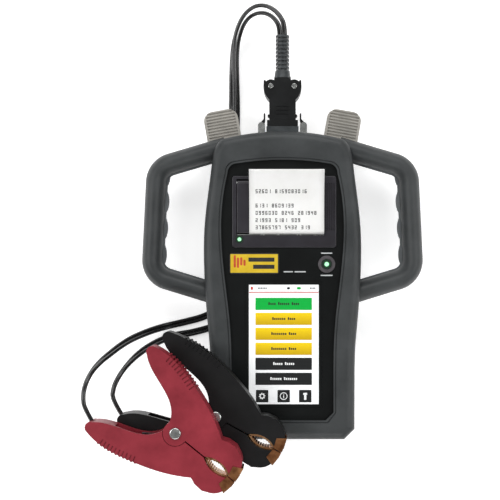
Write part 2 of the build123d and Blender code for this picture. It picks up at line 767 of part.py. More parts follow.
with BuildPart() as platen_roller:
    with BuildSketch(Plane.YZ.offset(door_left + 3.2)):
        with Locations((platen_y, platen_z)):
            Circle(platen_r)
    extrude(amount=door_right - door_left - 6.4)
    with BuildSketch(Plane.YZ.offset(door_left + 0.2)):
        with Locations((platen_y, platen_z)):
            Circle(platen_shaft_r)
    extrude(amount=door_right - door_left - 0.4)
save(platen_roller.part, "platen_roller")

with BuildPart() as paper_core:
    with BuildSketch(Plane.YZ.offset(-paper_width / 2)):
        with Locations((roll_y, roll_z)):
            Circle(core_r)
            Circle(core_r - core_wall, mode=Mode.SUBTRACT)
    extrude(amount=paper_width)
save(paper_core.part, "paper_core")

with BuildPart() as paper_roll:
    with BuildSketch(Plane.YZ.offset(-paper_width / 2)):
        with Locations((roll_y, roll_z)):
            Circle(roll_r)
            Circle(core_r, mode=Mode.SUBTRACT)
    extrude(amount=paper_width)
save(paper_roll.part, "paper_roll")

# The printed strip comes up out of the slot, folds over the door's free edge and curls up at its end.
strip_y = slot_y + 0.35
strip_low_z = face_z - 1.2
strip_over_z = face_z + door_thick + 0.5
with BuildPart() as paper_strip:
    with BuildSketch(Plane.YZ.offset(paper_mid_x - paper_width / 2)):
        with BuildLine() as strip_line:
            Line((strip_y, strip_low_z), (strip_y, strip_over_z - 0.6))
            ThreePointArc(
                (strip_y, strip_over_z - 0.6),
                (strip_y + 0.7, strip_over_z + 0.9),
                (strip_y + 2.4, strip_over_z + 1.4),
            )
            Spline(
                (strip_y + 2.4, strip_over_z + 1.4),
                (strip_y + 22.0, strip_over_z + 1.2),
                (strip_y + 38.0, strip_over_z + 4.0),
                (paper_reach, paper_lift),
                tangents=[(1, 0), (1, 0.45)],
            )
        trace(strip_line.edges(), line_width=paper_thick)
    extrude(amount=paper_width)
save(paper_strip.part, "paper_strip")

with BuildPart() as tear_bar:
    with BuildSketch(Plane.YZ.offset(door_left)):
        with BuildLine():
            Polyline(
                (slot_y - 0.6, face_z - 2.4),
                (slot_y - 0.6, face_z + 0.6),
                (slot_y - 0.1, face_z + bezel_proud + 0.3),
                (slot_y - 0.6 - 0.2, face_z + bezel_proud + 0.3),
                close=True,
            )
        make_face()
    extrude(amount=door_right - door_left)
save(tear_bar.part, "tear_bar")

with BuildPart() as print_head:
    with Locations((door_mid_x, platen_y - platen_r - 1.4, platen_z - 0.6)):
        Box(door_right - door_left - 8.0, 2.0, 6.0)
    with Locations((door_mid_x, platen_y - platen_r - 3.4, platen_z - 2.0)):
        Box(door_right - door_left - 16.0, 2.0, 8.0)
save(print_head.part, "print_head")

with BuildPart() as print_motor:
    with BuildSketch(Plane.YZ.offset(-housing_half + 4.0)):
        with Locations((bezel_foot + 9.2, housing_foot_z + 10.0)):
            Circle(5.0)
    extrude(amount=14.0)
    with BuildSketch(Plane.YZ.offset(-housing_half + 2.2)):
        with Locations((bezel_foot + 9.2, housing_foot_z + 10.0)):
            Circle(1.0)
    extrude(amount=2.0)
save(print_motor.part, "print_motor")

with BuildPart() as feed_button:
    with BuildSketch(Plane.XY.offset(face_z - 1.4)):
        with Locations((feed_x, feed_y)):
            Circle(feed_button_r)
            Circle(feed_led_r + 0.05, mode=Mode.SUBTRACT)
    extrude(amount=bezel_proud + 1.4 + 0.3)
save(feed_button.part, "feed_button")

with BuildPart() as feed_led:
    with BuildSketch(Plane.XY.offset(face_z - 1.0)):
        with Locations((feed_x, feed_y)):
            Circle(feed_led_r)
    extrude(amount=bezel_proud + 1.4)
    fillet(feed_led.faces().sort_by(Axis.Z)[-1].edges(), 0.6)
save(feed_led.part, "feed_led")

# ---- power button, badge, screen ---------------------------------------------------------------------------
with BuildPart() as power_ring:
    with BuildSketch(Plane.XY.offset(face_z)):
        with Locations((power_x, power_y)):
            Circle(power_ring_r)
            Circle(power_button_r + move_gap / 2, mode=Mode.SUBTRACT)
    extrude(amount=1.2)
    fillet(power_ring.faces().sort_by(Axis.Z)[-1].edges(), 0.5)
save(power_ring.part, "power_ring")

with BuildPart() as power_button:
    with BuildSketch(Plane.XY.offset(face_z - 2.6)):
        with Locations((power_x, power_y)):
            Circle(power_button_r)
            Circle(power_led_r + 0.05, mode=Mode.SUBTRACT)
    extrude(amount=2.6 + 1.2 + power_travel)
save(power_button.part, "power_button")

with BuildPart() as power_led:
    with BuildSketch(Plane.XY.offset(face_z - 2.0)):
        with Locations((power_x, power_y)):
            Circle(power_led_r)
    extrude(amount=2.0 + 1.2 + power_travel)
    fillet(power_led.faces().sort_by(Axis.Z)[-1].edges(), 0.8)
save(power_led.part, "power_led")

with BuildPart() as badge_plate:
    with BuildSketch(Plane.XY.offset(face_z - 0.4)):
        with Locations((badge_x, badge_y)):
            Rectangle(badge_width, badge_height)
            fillet(vertices(), 0.8)
    extrude(amount=badge_thick)
save(badge_plate.part, "badge_plate")

screen_y = screen_top - screen_height / 2
with BuildPart() as screen_frame:
    with BuildSketch(Plane.XY.offset(face_z - screen_sink)):
        with Locations((screen_mid_x, screen_y)):
            Rectangle(
                screen_width + 2 * screen_frame_w - 2 * fit_gap,
                screen_height + 2 * screen_frame_w - 2 * fit_gap,
            )
            fillet(vertices(), 1.3)
            Rectangle(screen_width + 0.1, screen_height + 0.1, mode=Mode.SUBTRACT)
    extrude(amount=screen_sink - 0.1)
save(screen_frame.part, "screen_frame")

with BuildPart() as touch_screen:
    with Locations((screen_mid_x, screen_y, face_z - screen_sink - 0.1)):
        Box(screen_width, screen_height, 1.2)
save(touch_screen.part, "touch_screen")

with BuildPart() as display_module:
    with Locations((screen_mid_x, screen_y, face_z - front_wall - 2.2)):
        Box(screen_width + 8.0, screen_height + 6.0, 3.4)
    with Locations((screen_mid_x, screen_y, face_z - front_wall - 0.2)):
        Box(screen_width - 0.4, screen_height - 0.4, 2.8)
save(display_module.part, "display_module")

# ---- circuit boards and power --------------------------------------------------------------------------------
with BuildPart() as display_board:
    with Locations((screen_mid_x, screen_y + 6.0, face_z - front_wall - 6.0)):
        Box(74.0, 70.0, 1.6)
save(display_board.part, "display_board")

with BuildPart() as main_board:
    with Locations((0, -44.0, tray_z + casing_wall + 5.0)):
        Box(76.0, 80.0, 1.6)
    with Locations((-20, -30, tray_z + casing_wall + 8.0), (18, -60, tray_z + casing_wall + 8.0)):
        Box(16.0, 16.0, 6.0)
save(main_board.part, "main_board")

with BuildPart() as buzzer:
    with Locations((12.0, 16.0, face_z - front_wall - 4.0)):
        Cylinder(6.0, 7.0)
save(buzzer.part, "buzzer")

cell_z = casing_wall + cell_r + 0.3
cell_rows_y = (battery_door_foot + 2.0, battery_door_foot + 4.0 + cell_length)
with BuildPart() as battery_cells:
    for row_y in cell_rows_y:
        with BuildSketch(Plane.XZ.offset(-row_y)):
            with Locations((0, cell_z)):
                with GridLocations(cell_pitch, 1, 3, 1):
                    Circle(cell_r)
        extrude(amount=-cell_length)
save(battery_cells.part, "battery_cells")

with BuildPart() as battery_contacts:
    for row_y in cell_rows_y:
        for end_y in (row_y - 0.6, row_y + cell_length + 0.6):
            with Locations((0, end_y, cell_z)):
                with GridLocations(cell_pitch, 1, 3, 1):
                    Box(8.0, 0.4, 8.0)
save(battery_contacts.part, "battery_contacts")

with BuildPart() as battery_door:
    with BuildSketch(Plane.XY):
        with Locations((0, (battery_door_top + battery_door_foot) / 2)):
            Rectangle(2 * battery_door_half, battery_door_top - battery_door_foot)
    extrude(amount=casing_wall - 0.1)
    # thumb grooves across its foot end
    with BuildSketch(Plane.XY):
        with Locations((0, battery_door_foot + 12.0)):
            with GridLocations(1, 3.0, 1, 4):
                Rectangle(20.0, 1.2)
    extrude(amount=0.6, mode=Mode.SUBTRACT)
save(battery_door.part, "battery_door")

# ---- spring clamps -------------------------------------------------------------------------------------------
# Each half is drawn with the rivet at the origin and the jaw towards +X; the lower half is its mirror image.
clamp_seam = 0.25  # half the gap between the two jaws when shut
handle_reach = {"red": 53.0, "black": 62.5}
tail_rise = 38.0
jaw_tip = 55.8
lever_tip = jaw_tip - 1.9
lens_start, lens_end, lens_rise = 27.0, 51.0, 4.4
port_depth = 7.0
port_lead_in = 10.0
lead_ports = {"red": (6.0, 160.0), "black": (2.5, 152.0)}  # inset from the tail, and turn in degrees
spring_coil_r = 5.0
spring_wire_r = 0.9
lug_gap = 0.4
groove_deep = 0.7
groove_long = 9.0
cheek_z = clamp_thick / 2 - clamp_cheek


def clamp_face(side, reach):
    """One lever's outline in the sketch that is open. reach is from the rivet to the handle's tail."""
    with BuildLine() as lever:
        Spline(
            (2.0 - reach, side * (tail_rise + 1.5)),
            (-0.64 * reach, side * 40.5),
            (-13.0, side * 36.0),
            (10.0, side * 28.0),
            (29.0, side * 17.6),
        )
        Polyline((29.0, side * 17.6), (34.0, side * 19.6), (41.0, side * 20.0), (46.0, side * 17.8))
        ThreePointArc((46.0, side * 17.8), (lever_tip - 1.8, side * 12.5), (lever_tip, side * 4.0))
        Line((lever_tip, side * 4.0), (lever_tip - 1.0, side * clamp_seam))
        Line((lever_tip - 1.0, side * clamp_seam), (lens_end, side * clamp_seam))
        ThreePointArc(
            (lens_end, side * clamp_seam),
            ((lens_start + lens_end) / 2, side * lens_rise),
            (lens_start, side * clamp_seam * 2),
        )
        Line((lens_start, side * clamp_seam * 2), (0.0, side * clamp_seam * 2))
        Line((0.0, side * clamp_seam * 2), (-pivot_boss_r + 1.0, side * 3.0))
        Spline(
            (-pivot_boss_r + 1.0, side * 3.0),
            (-14.0, side * 12.5),
            (-0.6 * reach, side * 21.5),
            (1.0 - reach, side * 31.5),
        )
        ThreePointArc(
            (1.0 - reach, side * 31.5),
            (-reach - 1.6, side * 35.4),
            (2.0 - reach, side * (tail_rise + 1.5)),
        )
    make_face(lever.edges())


def rib_spots(side, reach):
    """Where the finger ribs stand along a handle's outer edge, and the grooves between them."""
    edge = Spline(
        (2.0 - reach, side * (tail_rise + 1.5)),
        (-0.64 * reach, side * 40.5),
        (-13.0, side * 36.0),
        (10.0, side * 28.0),
        (29.0, side * 17.6),
        mode=Mode.PRIVATE,
    )
    ribs = [tuple(edge @ (0.14 + 0.036 * i)) for i in range(11)]
    grooves = []
    for i in range(10):
        spot, run = edge @ (0.158 + 0.036 * i), edge % (0.158 + 0.036 * i)
        grooves.append(Location(spot, (0, 0, degrees(atan2(run.Y, run.X)) + 90)))
    return ribs, grooves


def port_ends(plane, reach, port):
    """The lead's port in the lower handle's tail: a point outside its mouth, and the bottom of the hole."""
    inset, turn = port
    heart = Vector(-reach + inset, -35.4, 0)
    out = Vector(cos(radians(turn)), sin(radians(turn)), 0)
    return plane.from_local_coords(heart + out * (port_depth + port_lead_in)), plane.from_local_coords(heart)


def clamp_lever(side, plane, reach, port):
    """One moulded lever. The upper one (side 1) has the outer pivot lugs and the lower one the inner pair."""
    ribs, grooves = rib_spots(side, reach)
    with BuildPart() as lever:
        with BuildSketch(plane.offset(-clamp_thick / 2)):
            clamp_face(side, reach)
            Circle(pivot_boss_r)
        extrude(amount=clamp_thick)
        with BuildSketch(plane.offset(-clamp_thick / 2 + 1.5)):
            with Locations(*ribs):
                Circle(0.9)
        extrude(amount=clamp_thick - 3.0)
        for low in (-clamp_thick / 2, clamp_thick / 2 - groove_deep):
            with BuildSketch(plane.offset(low)):
                with Locations(*grooves):
                    Rectangle(groove_long, 0.9)
            extrude(amount=groove_deep, mode=Mode.SUBTRACT)
        # handle channel, open on its inner side
        with BuildSketch(plane.offset(-cheek_z)):
            with Locations((0, -side * 4.0)):
                with BuildLine() as channel:
                    Polyline(
                        (5.0 - reach + port_depth, side * 39.0),
                        (-34.0, side * 41.0),
                        (-16.0, side * 36.0),
                        (-13.0, side * 20.0),
                        (-16.0, side * 8.0),
                        (5.0 - reach + port_depth, side * 26.0),
                        close=True,
                    )
                make_face(channel.edges())
        extrude(amount=2 * cheek_z, mode=Mode.SUBTRACT)
        # room for the other lever's lugs, for the spring and for the jaw plates
        if side > 0:
            with BuildSketch(plane.offset(-cheek_z - lug_gap / 2)):
                Circle(pivot_boss_r + lug_gap)
            extrude(amount=2 * cheek_z + lug_gap, mode=Mode.SUBTRACT)
        else:
            for low in (-clamp_thick / 2, cheek_z - lug_gap / 2):
                with BuildSketch(plane.offset(low)):
                    Circle(pivot_boss_r + lug_gap)
                extrude(amount=clamp_cheek + lug_gap / 2, mode=Mode.SUBTRACT)
            with BuildSketch(plane.offset(-cheek_z + 3.0)):
                Circle(pivot_boss_r + lug_gap)
            extrude(amount=2 * cheek_z - 6.0, mode=Mode.SUBTRACT)
        with BuildSketch(plane.offset(-cheek_z + 3.0)):
            with BuildLine() as leg_room:
                Polyline(
                    (0, -side * 3.0), (-22.0, side * 9.0), (-22.0, side * 21.0), (-1.0, side * 8.5), close=True
                )
            make_face(leg_room.edges())
        extrude(amount=2 * cheek_z - 6.0, mode=Mode.SUBTRACT)
        with BuildSketch(plane.offset(-jaw_wide / 2 - 0.1)):
            with BuildLine() as seat:
                Polyline(
                    (lens_start - 4.0, 0), (lens_start - 4.0, side * 3.0),
                    (lens_start + 4.0, side * (lens_rise + 2.2)), (lens_end - 4.0, side * (lens_rise + 2.2)),
                    (lens_end + 1.0, side * 3.6), (jaw_tip + 1.0, side * 3.6), (jaw_tip + 1.0, 0), close=True,
                )
            make_face(seat.edges())
        extrude(amount=jaw_wide + 0.2, mode=Mode.SUBTRACT)
        with BuildSketch(plane.offset(-clamp_thick / 2)):
            Circle(rivet_r + shaft_gap)
        extrude(amount=clamp_thick, mode=Mode.SUBTRACT)
        if side < 0:
            mouth, heart = port_ends(plane, reach, port)
            with BuildSketch(Plane(origin=heart, z_dir=mouth - heart)):
                Circle(lead_r + 0.05)
            extrude(amount=2 * port_depth, mode=Mode.SUBTRACT)
    return lever.part


def clamp_jaw(side, plane):
    """A folded copper jaw: a toothed lens-shaped web with a cap over the tip of the lever."""
    with BuildPart() as jaw:
        with BuildSketch(plane.offset(-jaw_wide / 2)):
            with BuildLine() as web:
                Line((lens_start - 3.6, side * 0.5), (lens_start - 3.6, side * 1.8))
                ThreePointArc(
                    (lens_start - 3.6, side * 1.8),
                    ((lens_start + lens_end) / 2, side * (lens_rise + jaw_plate)),
                    (lens_end, side * (clamp_seam + jaw_plate + 0.9)),
                )
                Line((lens_end, side * (clamp_seam + jaw_plate + 0.9)), (jaw_tip - 0.2, side * 3.2))
                Line((jaw_tip - 0.2, side * 3.2), (jaw_tip - 0.2, side * clamp_seam))
                Line((jaw_tip - 0.2, side * clamp_seam), (lens_end - 1.0, side * clamp_seam))
                ThreePointArc(
                    (lens_end - 1.0, side * clamp_seam),
                    ((lens_start + lens_end) / 2, side * lens_rise),
                    (lens_start - 3.6, side * 0.5),
                )
            make_face(web.edges())
        extrude(amount=jaw_wide)
        # tip cap: two copper cheeks and a nose plate round the plastic tip
        for low in (-clamp_thick / 2 - 0.5, clamp_thick / 2 + 0.1):
            with BuildSketch(plane.offset(low)):
                with BuildLine() as cap:
                    Polyline(
                        (lens_end - 2.0, side * (clamp_seam + 0.2)),
                        (lens_end - 3.5, side * 8.0),
                        (jaw_tip - 1.4, side * 11.5),
                        (jaw_tip, side * 4.0),
                        (jaw_tip, side * (clamp_seam + 0.2)),
                        close=True,
                    )
                make_face(cap.edges())
            extrude(amount=0.4)
        with BuildSketch(plane.offset(-clamp_thick / 2 - 0.5)):
            with BuildLine() as nose:
                Polyline(
                    (jaw_tip - 0.8, side * (clamp_seam + 0.2)),
                    (jaw_tip - 0.8, side * 4.0),
                    (jaw_tip - 2.2, side * 11.2),
                    (jaw_tip - 1.4, side * 11.5),
                    (jaw_tip, side * 4.0),
                    (jaw_tip, side * (clamp_seam + 0.2)),
                    close=True,
                )
            make_face(nose.edges())
        extrude(amount=clamp_thick + 1.0)
    return jaw.part


def clamp_rivet(plane):
    """A hollow-set steel rivet with a domed head on each side."""
    with BuildPart() as rivet:
        with BuildSketch(plane.offset(-clamp_thick / 2)):
            Circle(rivet_r)
        extrude(amount=clamp_thick)
        for low in (-clamp_thick / 2 - rivet_head_rise - 0.1, clamp_thick / 2 + 0.1):
            with BuildSketch(plane.offset(low)):
                Circle(rivet_head_r)
            extrude(amount=rivet_head_rise)
        with BuildSketch(plane.offset(-clamp_thick / 2 - 0.1)):
            Circle(rivet_r)
        extrude(amount=clamp_thick + 0.2)
        outer = rivet.faces().sort_by(Axis.Z)
        fillet([*outer[0].edges(), *outer[-1].edges()], rivet_head_rise - 0.15)
    return rivet.part


def clamp_spring(plane):
    """Torsion spring: the coil as one closed sleeve round the rivet, and its two straight legs."""
    with BuildPart() as spring:
        with BuildSketch(plane.offset(-cheek_z + 3.4)):
            Circle(spring_coil_r + spring_wire_r / 2)
            Circle(spring_coil_r - spring_wire_r, mode=Mode.SUBTRACT)
        extrude(amount=2 * cheek_z - 6.8)
        for side in (1, -1):
            with BuildSketch(plane.offset(side * 2.0 - spring_wire_r)):
                with BuildLine() as leg:
                    Polyline((-1.5, side * 4.6), (-20.0, side * 18.2))
                trace(leg.edges(), line_width=2 * spring_wire_r)
            extrude(amount=2 * spring_wire_r)
    return spring.part


clamp_planes = {
    "red": Plane(
        origin=(red_clamp_x, red_clamp_y, red_clamp_z),
        x_dir=(cos(radians(red_clamp_turn)), sin(radians(red_clamp_turn)), 0),
        z_dir=(0, 0, 1),
    ),
    "black": Plane(
        origin=(black_clamp_x, black_clamp_y, black_clamp_z),
        x_dir=(cos(radians(black_clamp_turn)), sin(radians(black_clamp_turn)), 0),
        z_dir=(0, 0, 1),
    ),
}
for colour, plane in clamp_planes.items():
    reach, port = handle_reach[colour], lead_ports[colour]
    save(clamp_lever(-1, plane, reach, port), colour + "_clamp_lower")
    save(clamp_lever(1, plane, reach, port), colour + "_clamp_upper")
    save(clamp_jaw(-1, plane), colour + "_jaw_lower")
    save(clamp_jaw(1, plane), colour + "_jaw_upper")
    save(clamp_rivet(plane), colour + "_clamp_rivet")
    save(clamp_spring(plane), colour + "_clamp_spring")

# ---- leads -----------------------------------------------------------------------------------------------------
# Each lead runs from the strain relief in one loop past the left hook, under the boot's left flange between
# the table and the boot, out at the left flank and up into the tail of its clamp.
red_route = [
    (1.6, relief_end_y, 32.6),
    (1.6, 203.5, 32.6),
    (-1.8, 210.8, 32.0),
    (-6.9, 216.4, 30.5),
    (-13.2, 220.0, 28.5),
    (-20.4, 220.6, 26.2),
    (-27.0, 217.6, 23.6),
    (-32.2, 212.2, 20.8),
    (-36.2, 204.4, 17.8),
    (-38.8, 195.0, 14.8),
    (-40.0, 183.0, 12.2),
    (-40.2, 166.0, 10.2),
    (-40.2, 144.0, 9.0),
    (-41.4, 120.0, 7.6),
    (-44.4, 97.0, 4.4),
    (-46.0, 72.0, 3.0),
    (-46.7, 46.0, 2.8),
    (-46.6, 22.0, 2.9),
    (-46.2, 4.0, 2.8),
    (-47.6, -8.6, 2.9),
    (-52.6, -18.6, 2.8),
    (-62.0, -25.4, 2.9),
    (-81.8, -30.4, 2.8),
    (-93.4, -32.9, 5.2),
    (-103.4, -35.7, 11.7),
    (-111.5, -38.8, 20.1),
    (-118.7, -42.1, 30.1),
    (-125.6, -46.9, 42.3),
    (-131.3, -52.1, 53.8),
    (-136.5, -57.0, 63.8),
    (-140.8, -62.7, 72.1),
    (-144.0, -69.2, 78.0),
    (-145.9, -76.1, 81.3),
    (-146.5, -83.2, 82.4),
]
black_route = [
    (-2.1, relief_end_y, 27.4),
    (-2.1, 203.0, 27.4),
    (-5.8, 209.8, 26.2),
    (-11.3, 214.6, 24.0),
    (-18.2, 216.4, 21.0),
    (-25.2, 214.8, 17.2),
    (-30.5, 210.0, 13.4),
    (-34.0, 202.6, 9.8),
    (-36.3, 193.2, 6.8),
    (-37.6, 181.6, 4.5),
    (-37.6, 165.0, 3.1),
    (-37.1, 143.0, 2.8),
    (-37.5, 120.0, 2.9),
    (-38.6, 97.0, 2.8),
    (-39.4, 73.0, 2.9),
    (-39.6, 49.0, 2.8),
    (-39.5, 25.0, 2.9),
    (-39.2, 4.0, 2.8),
    (-40.2, -12.0, 2.9),
    (-44.0, -24.6, 2.8),
    (-51.6, -32.4, 2.9),
    (-72.6, -38.4, 2.8),
    (-85.2, -40.0, 6.2),
    (-96.2, -43.4, 15.4),
    (-105.7, -48.5, 28.4),
    (-111.6, -53.1, 38.3),
    (-116.6, -58.3, 47.2),
    (-121.1, -64.2, 54.2),
    (-124.8, -70.5, 58.4),
    (-127.8, -77.4, 59.8),
]


def lead_tube(name, route):
    """A round tube along straight runs and tangent arcs, each arc as large as its two runs allow."""
    points = [Vector(*p) for p in route]
    runs = [b - a for a, b in zip(points, points[1:])]
    radii = []
    for before, after in zip(runs, runs[1:]):
        half_turn = radians(before.get_angle(after)) / 2
        radii.append(0.45 * min(before.length, after.length) / tan(half_turn))
    with BuildPart() as tube:
        with BuildLine() as path:
            FilletPolyline(*points, radius=radii)
        with BuildSketch(Plane(origin=path.line @ 0, z_dir=path.line % 0)):
            Circle(lead_r)
        sweep(path=path.line)
    length = sum(edge.length for edge in path.edges())
    section = 3.14159265 * lead_r**2
    print(name, "length", round(length, 1), "smallest radius", round(min(radii), 1))
    print("  radii", [round(r) for r in radii])
    print("  volume over section times length", round(tube.part.volume / (section * length), 4))
    return tube.part


for colour, route in (("red", red_route), ("black", black_route)):
    mouth, heart = port_ends(clamp_planes[colour], handle_reach[colour], lead_ports[colour])
    save(lead_tube(colour + "_lead", route + [tuple(mouth), tuple(heart)]), colour + "_lead")
    print(colour, "port", [round(v, 1) for v in mouth], [round(v, 1) for v in heart])
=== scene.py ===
import json
from math import cos, pi, radians, sin
from random import Random

import bmesh
import bpy
from mathutils import Matrix, Vector


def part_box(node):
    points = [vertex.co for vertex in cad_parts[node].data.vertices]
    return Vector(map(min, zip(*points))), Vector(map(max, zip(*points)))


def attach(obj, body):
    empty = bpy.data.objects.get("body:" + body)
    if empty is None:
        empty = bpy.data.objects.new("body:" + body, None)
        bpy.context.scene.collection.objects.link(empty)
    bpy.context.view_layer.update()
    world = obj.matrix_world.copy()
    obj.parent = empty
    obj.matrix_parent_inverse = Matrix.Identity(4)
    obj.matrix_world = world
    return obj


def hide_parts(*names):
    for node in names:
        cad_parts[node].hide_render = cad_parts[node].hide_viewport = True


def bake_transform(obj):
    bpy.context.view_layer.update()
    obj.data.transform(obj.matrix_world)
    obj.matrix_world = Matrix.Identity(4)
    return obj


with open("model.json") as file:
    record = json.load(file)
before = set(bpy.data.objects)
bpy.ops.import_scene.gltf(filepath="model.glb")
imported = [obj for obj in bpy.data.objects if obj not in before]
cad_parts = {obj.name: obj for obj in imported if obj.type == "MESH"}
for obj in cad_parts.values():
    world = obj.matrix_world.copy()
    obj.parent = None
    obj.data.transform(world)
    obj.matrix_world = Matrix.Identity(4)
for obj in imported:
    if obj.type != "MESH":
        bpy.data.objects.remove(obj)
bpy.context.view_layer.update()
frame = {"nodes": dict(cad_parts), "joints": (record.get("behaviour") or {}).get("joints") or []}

cad = frame["nodes"]

# ---- Camera ----------------------------------------------------------------------------------------------
# A view straight down on the face from above the middle of the tester, as on a copy stand. The lens shift
# leaves room on the left and at the top for the leads and the clamps.
camera = bpy.data.objects.new("camera", bpy.data.cameras.new("camera"))
bpy.context.scene.collection.objects.link(camera)
camera.location = (0, 0, 0.845)
camera.data.lens = 74.8
camera.data.shift_x = -0.065
camera.data.shift_y = 0.0705
camera.data.clip_start = 0.01
bpy.context.scene.camera = camera

# ---- Leads -----------------------------------------------------------------------------------------------
# Two twin-core test leads, extruded figure-8 in black PVC with a wet shine. Each is gripped by the strain
# relief, loops past the left hook, runs under the boot and rises into the tail of its clamp.
MM = 0.001
strand_radius = 1.5 * MM
strand_spread = 1.42 * MM
red_route = [
    (0.0016, 0.1955, 0.0326), (0.0016, 0.2035, 0.0326), (-0.0018, 0.2108, 0.0320),
    (-0.0069, 0.2164, 0.0305), (-0.0132, 0.2200, 0.0285), (-0.0204, 0.2206, 0.0262),
    (-0.0270, 0.2176, 0.0236), (-0.0322, 0.2122, 0.0208), (-0.0362, 0.2044, 0.0178),
    (-0.0388, 0.1950, 0.0148), (-0.0400, 0.1830, 0.0122), (-0.0402, 0.1660, 0.0102),
    (-0.0402, 0.1440, 0.0090), (-0.0414, 0.1200, 0.0076), (-0.0444, 0.0970, 0.0044),
    (-0.0460, 0.0720, 0.0030), (-0.0467, 0.0460, 0.0028), (-0.0466, 0.0220, 0.0029),
    (-0.0462, 0.0040, 0.0028), (-0.0476, -0.0086, 0.0029), (-0.0526, -0.0186, 0.0028),
    (-0.0620, -0.0254, 0.0029), (-0.0818, -0.0304, 0.0028), (-0.0934, -0.0329, 0.0052),
    (-0.1034, -0.0357, 0.0117), (-0.1115, -0.0388, 0.0201), (-0.1187, -0.0421, 0.0301),
    (-0.1256, -0.0469, 0.0423), (-0.1313, -0.0521, 0.0538), (-0.1365, -0.0570, 0.0638),
    (-0.1408, -0.0627, 0.0721), (-0.1440, -0.0692, 0.0780), (-0.1459, -0.0761, 0.0813),
    (-0.1465, -0.0832, 0.0824), (-0.1453, -0.0907, 0.0824), (-0.1366, -0.1053, 0.0824),
]
black_route = [
    (-0.0021, 0.1955, 0.0274), (-0.0021, 0.2030, 0.0274), (-0.0058, 0.2098, 0.0262),
    (-0.0113, 0.2146, 0.0240), (-0.0182, 0.2164, 0.0210), (-0.0252, 0.2148, 0.0172),
    (-0.0305, 0.2100, 0.0134), (-0.0340, 0.2026, 0.0098), (-0.0363, 0.1932, 0.0068),
    (-0.0376, 0.1816, 0.0045), (-0.0376, 0.1650, 0.0031), (-0.0371, 0.1430, 0.0028),
    (-0.0375, 0.1200, 0.0029), (-0.0386, 0.0970, 0.0028), (-0.0394, 0.0730, 0.0029),
    (-0.0396, 0.0490, 0.0028), (-0.0395, 0.0250, 0.0029), (-0.0392, 0.0040, 0.0028),
    (-0.0402, -0.0120, 0.0029), (-0.0440, -0.0246, 0.0028), (-0.0516, -0.0324, 0.0029),
    (-0.0726, -0.0384, 0.0028), (-0.0852, -0.0400, 0.0062), (-0.0962, -0.0434, 0.0154),
    (-0.1057, -0.0485, 0.0284), (-0.1116, -0.0531, 0.0383), (-0.1166, -0.0583, 0.0472),
    (-0.1211, -0.0642, 0.0542), (-0.1248, -0.0705, 0.0584), (-0.1278, -0.0774, 0.0598),
    (-0.1289, -0.0866, 0.0598), (-0.1195, -0.1008, 0.0598),
]


def smooth_line(route):
    """Points along one quadratic NURBS spline that has the route's points as its control points."""
    curve = bpy.data.curves.new("route", "CURVE")
    curve.dimensions = "3D"
    curve.resolution_u = 10
    spline = curve.splines.new("NURBS")
    spline.points.add(len(route) - 1)
    for point, place in zip(spline.points, route):
        point.co = (*place, 1)
    spline.order_u = 3
    spline.use_endpoint_u = True
    holder = bpy.data.objects.new("route", curve)
    bpy.context.scene.collection.objects.link(holder)
    bpy.context.view_layer.update()
    mesh = bpy.data.meshes.new_from_object(holder)
    line = [v.co.copy() for v in mesh.vertices]
    bpy.data.objects.remove(holder)
    return line


def add_object(name, mesh, material, body="root"):
    """Links a mesh as a piece with one material, riding on a body unless body is None."""
    piece = bpy.data.objects.new(name, mesh)
    bpy.context.scene.collection.objects.link(piece)
    piece.data.materials.append(material)
    if body:
        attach(piece, body)
    return piece


def closed_mesh(name, mesh):
    """Turns a bmesh into mesh data with its faces outwards."""
    bmesh.ops.recalc_face_normals(mesh, faces=mesh.faces)
    data = bpy.data.meshes.new(name)
    mesh.to_mesh(data)
    mesh.free()
    return data


def join_rings(mesh, one, two):
    """Adds the band of faces between two closed rings of vertices."""
    count = len(one)
    for k in range(count):
        mesh.faces.new((one[k], one[(k + 1) % count], two[(k + 1) % count], two[k]))


def sweep(name, line, profile_at, material, body="root"):
    """Skins a closed profile along a line. profile_at(i, tangent) gives the profile's offsets at point i."""
    mesh = bmesh.new()
    rings = []
    for i, place in enumerate(line):
        tangent = (line[min(i + 1, len(line) - 1)] - line[max(i - 1, 0)]).normalized()
        rings.append([mesh.verts.new(place + offset) for offset in profile_at(i, tangent)])
    for one, two in zip(rings, rings[1:]):
        join_rings(mesh, one, two)
    mesh.faces.new(list(reversed(rings[0])))
    mesh.faces.new(rings[-1])
    data = closed_mesh(name, mesh)
    for face in data.polygons:
        face.use_smooth = len(face.vertices) == 4
    return add_object(name, data, material, body)


def linear(colour):
    """An sRGB hex colour as linear RGBA."""
    channels = [int(colour[i : i + 2], 16) / 255 for i in (1, 3, 5)]
    return (*[c / 12.92 if c <= 0.04045 else ((c + 0.055) / 1.055) ** 2.4 for c in channels], 1)


def add_node(tree, kind, settings=None, links=None):
    """Adds a node, sets its attributes and sockets, and links outputs into its sockets."""
    made = tree.nodes.new(kind)
    for key, value in (settings or {}).items():
        if isinstance(key, str) and hasattr(made, key):
            setattr(made, key, value)
        else:
            made.inputs[key].default_value = value
    for key, output in (links or {}).items():
        tree.links.new(output, made.inputs[key])
    return made


def start_material(name, colour, roughness, **sockets):
    """A material with a Principled shader. Sockets that are the same all over are set on the shader."""
    material = bpy.data.materials.new(name)
    material.use_nodes = True
    tree = material.node_tree
    shader = tree.nodes["Principled BSDF"]
    shader.inputs["Base Color"].default_value = linear(colour)
    shader.inputs["Roughness"].default_value = roughness
    for key, value in sockets.items():
        shader.inputs[key.replace("_", " ")].default_value = value
    return material, tree, shader


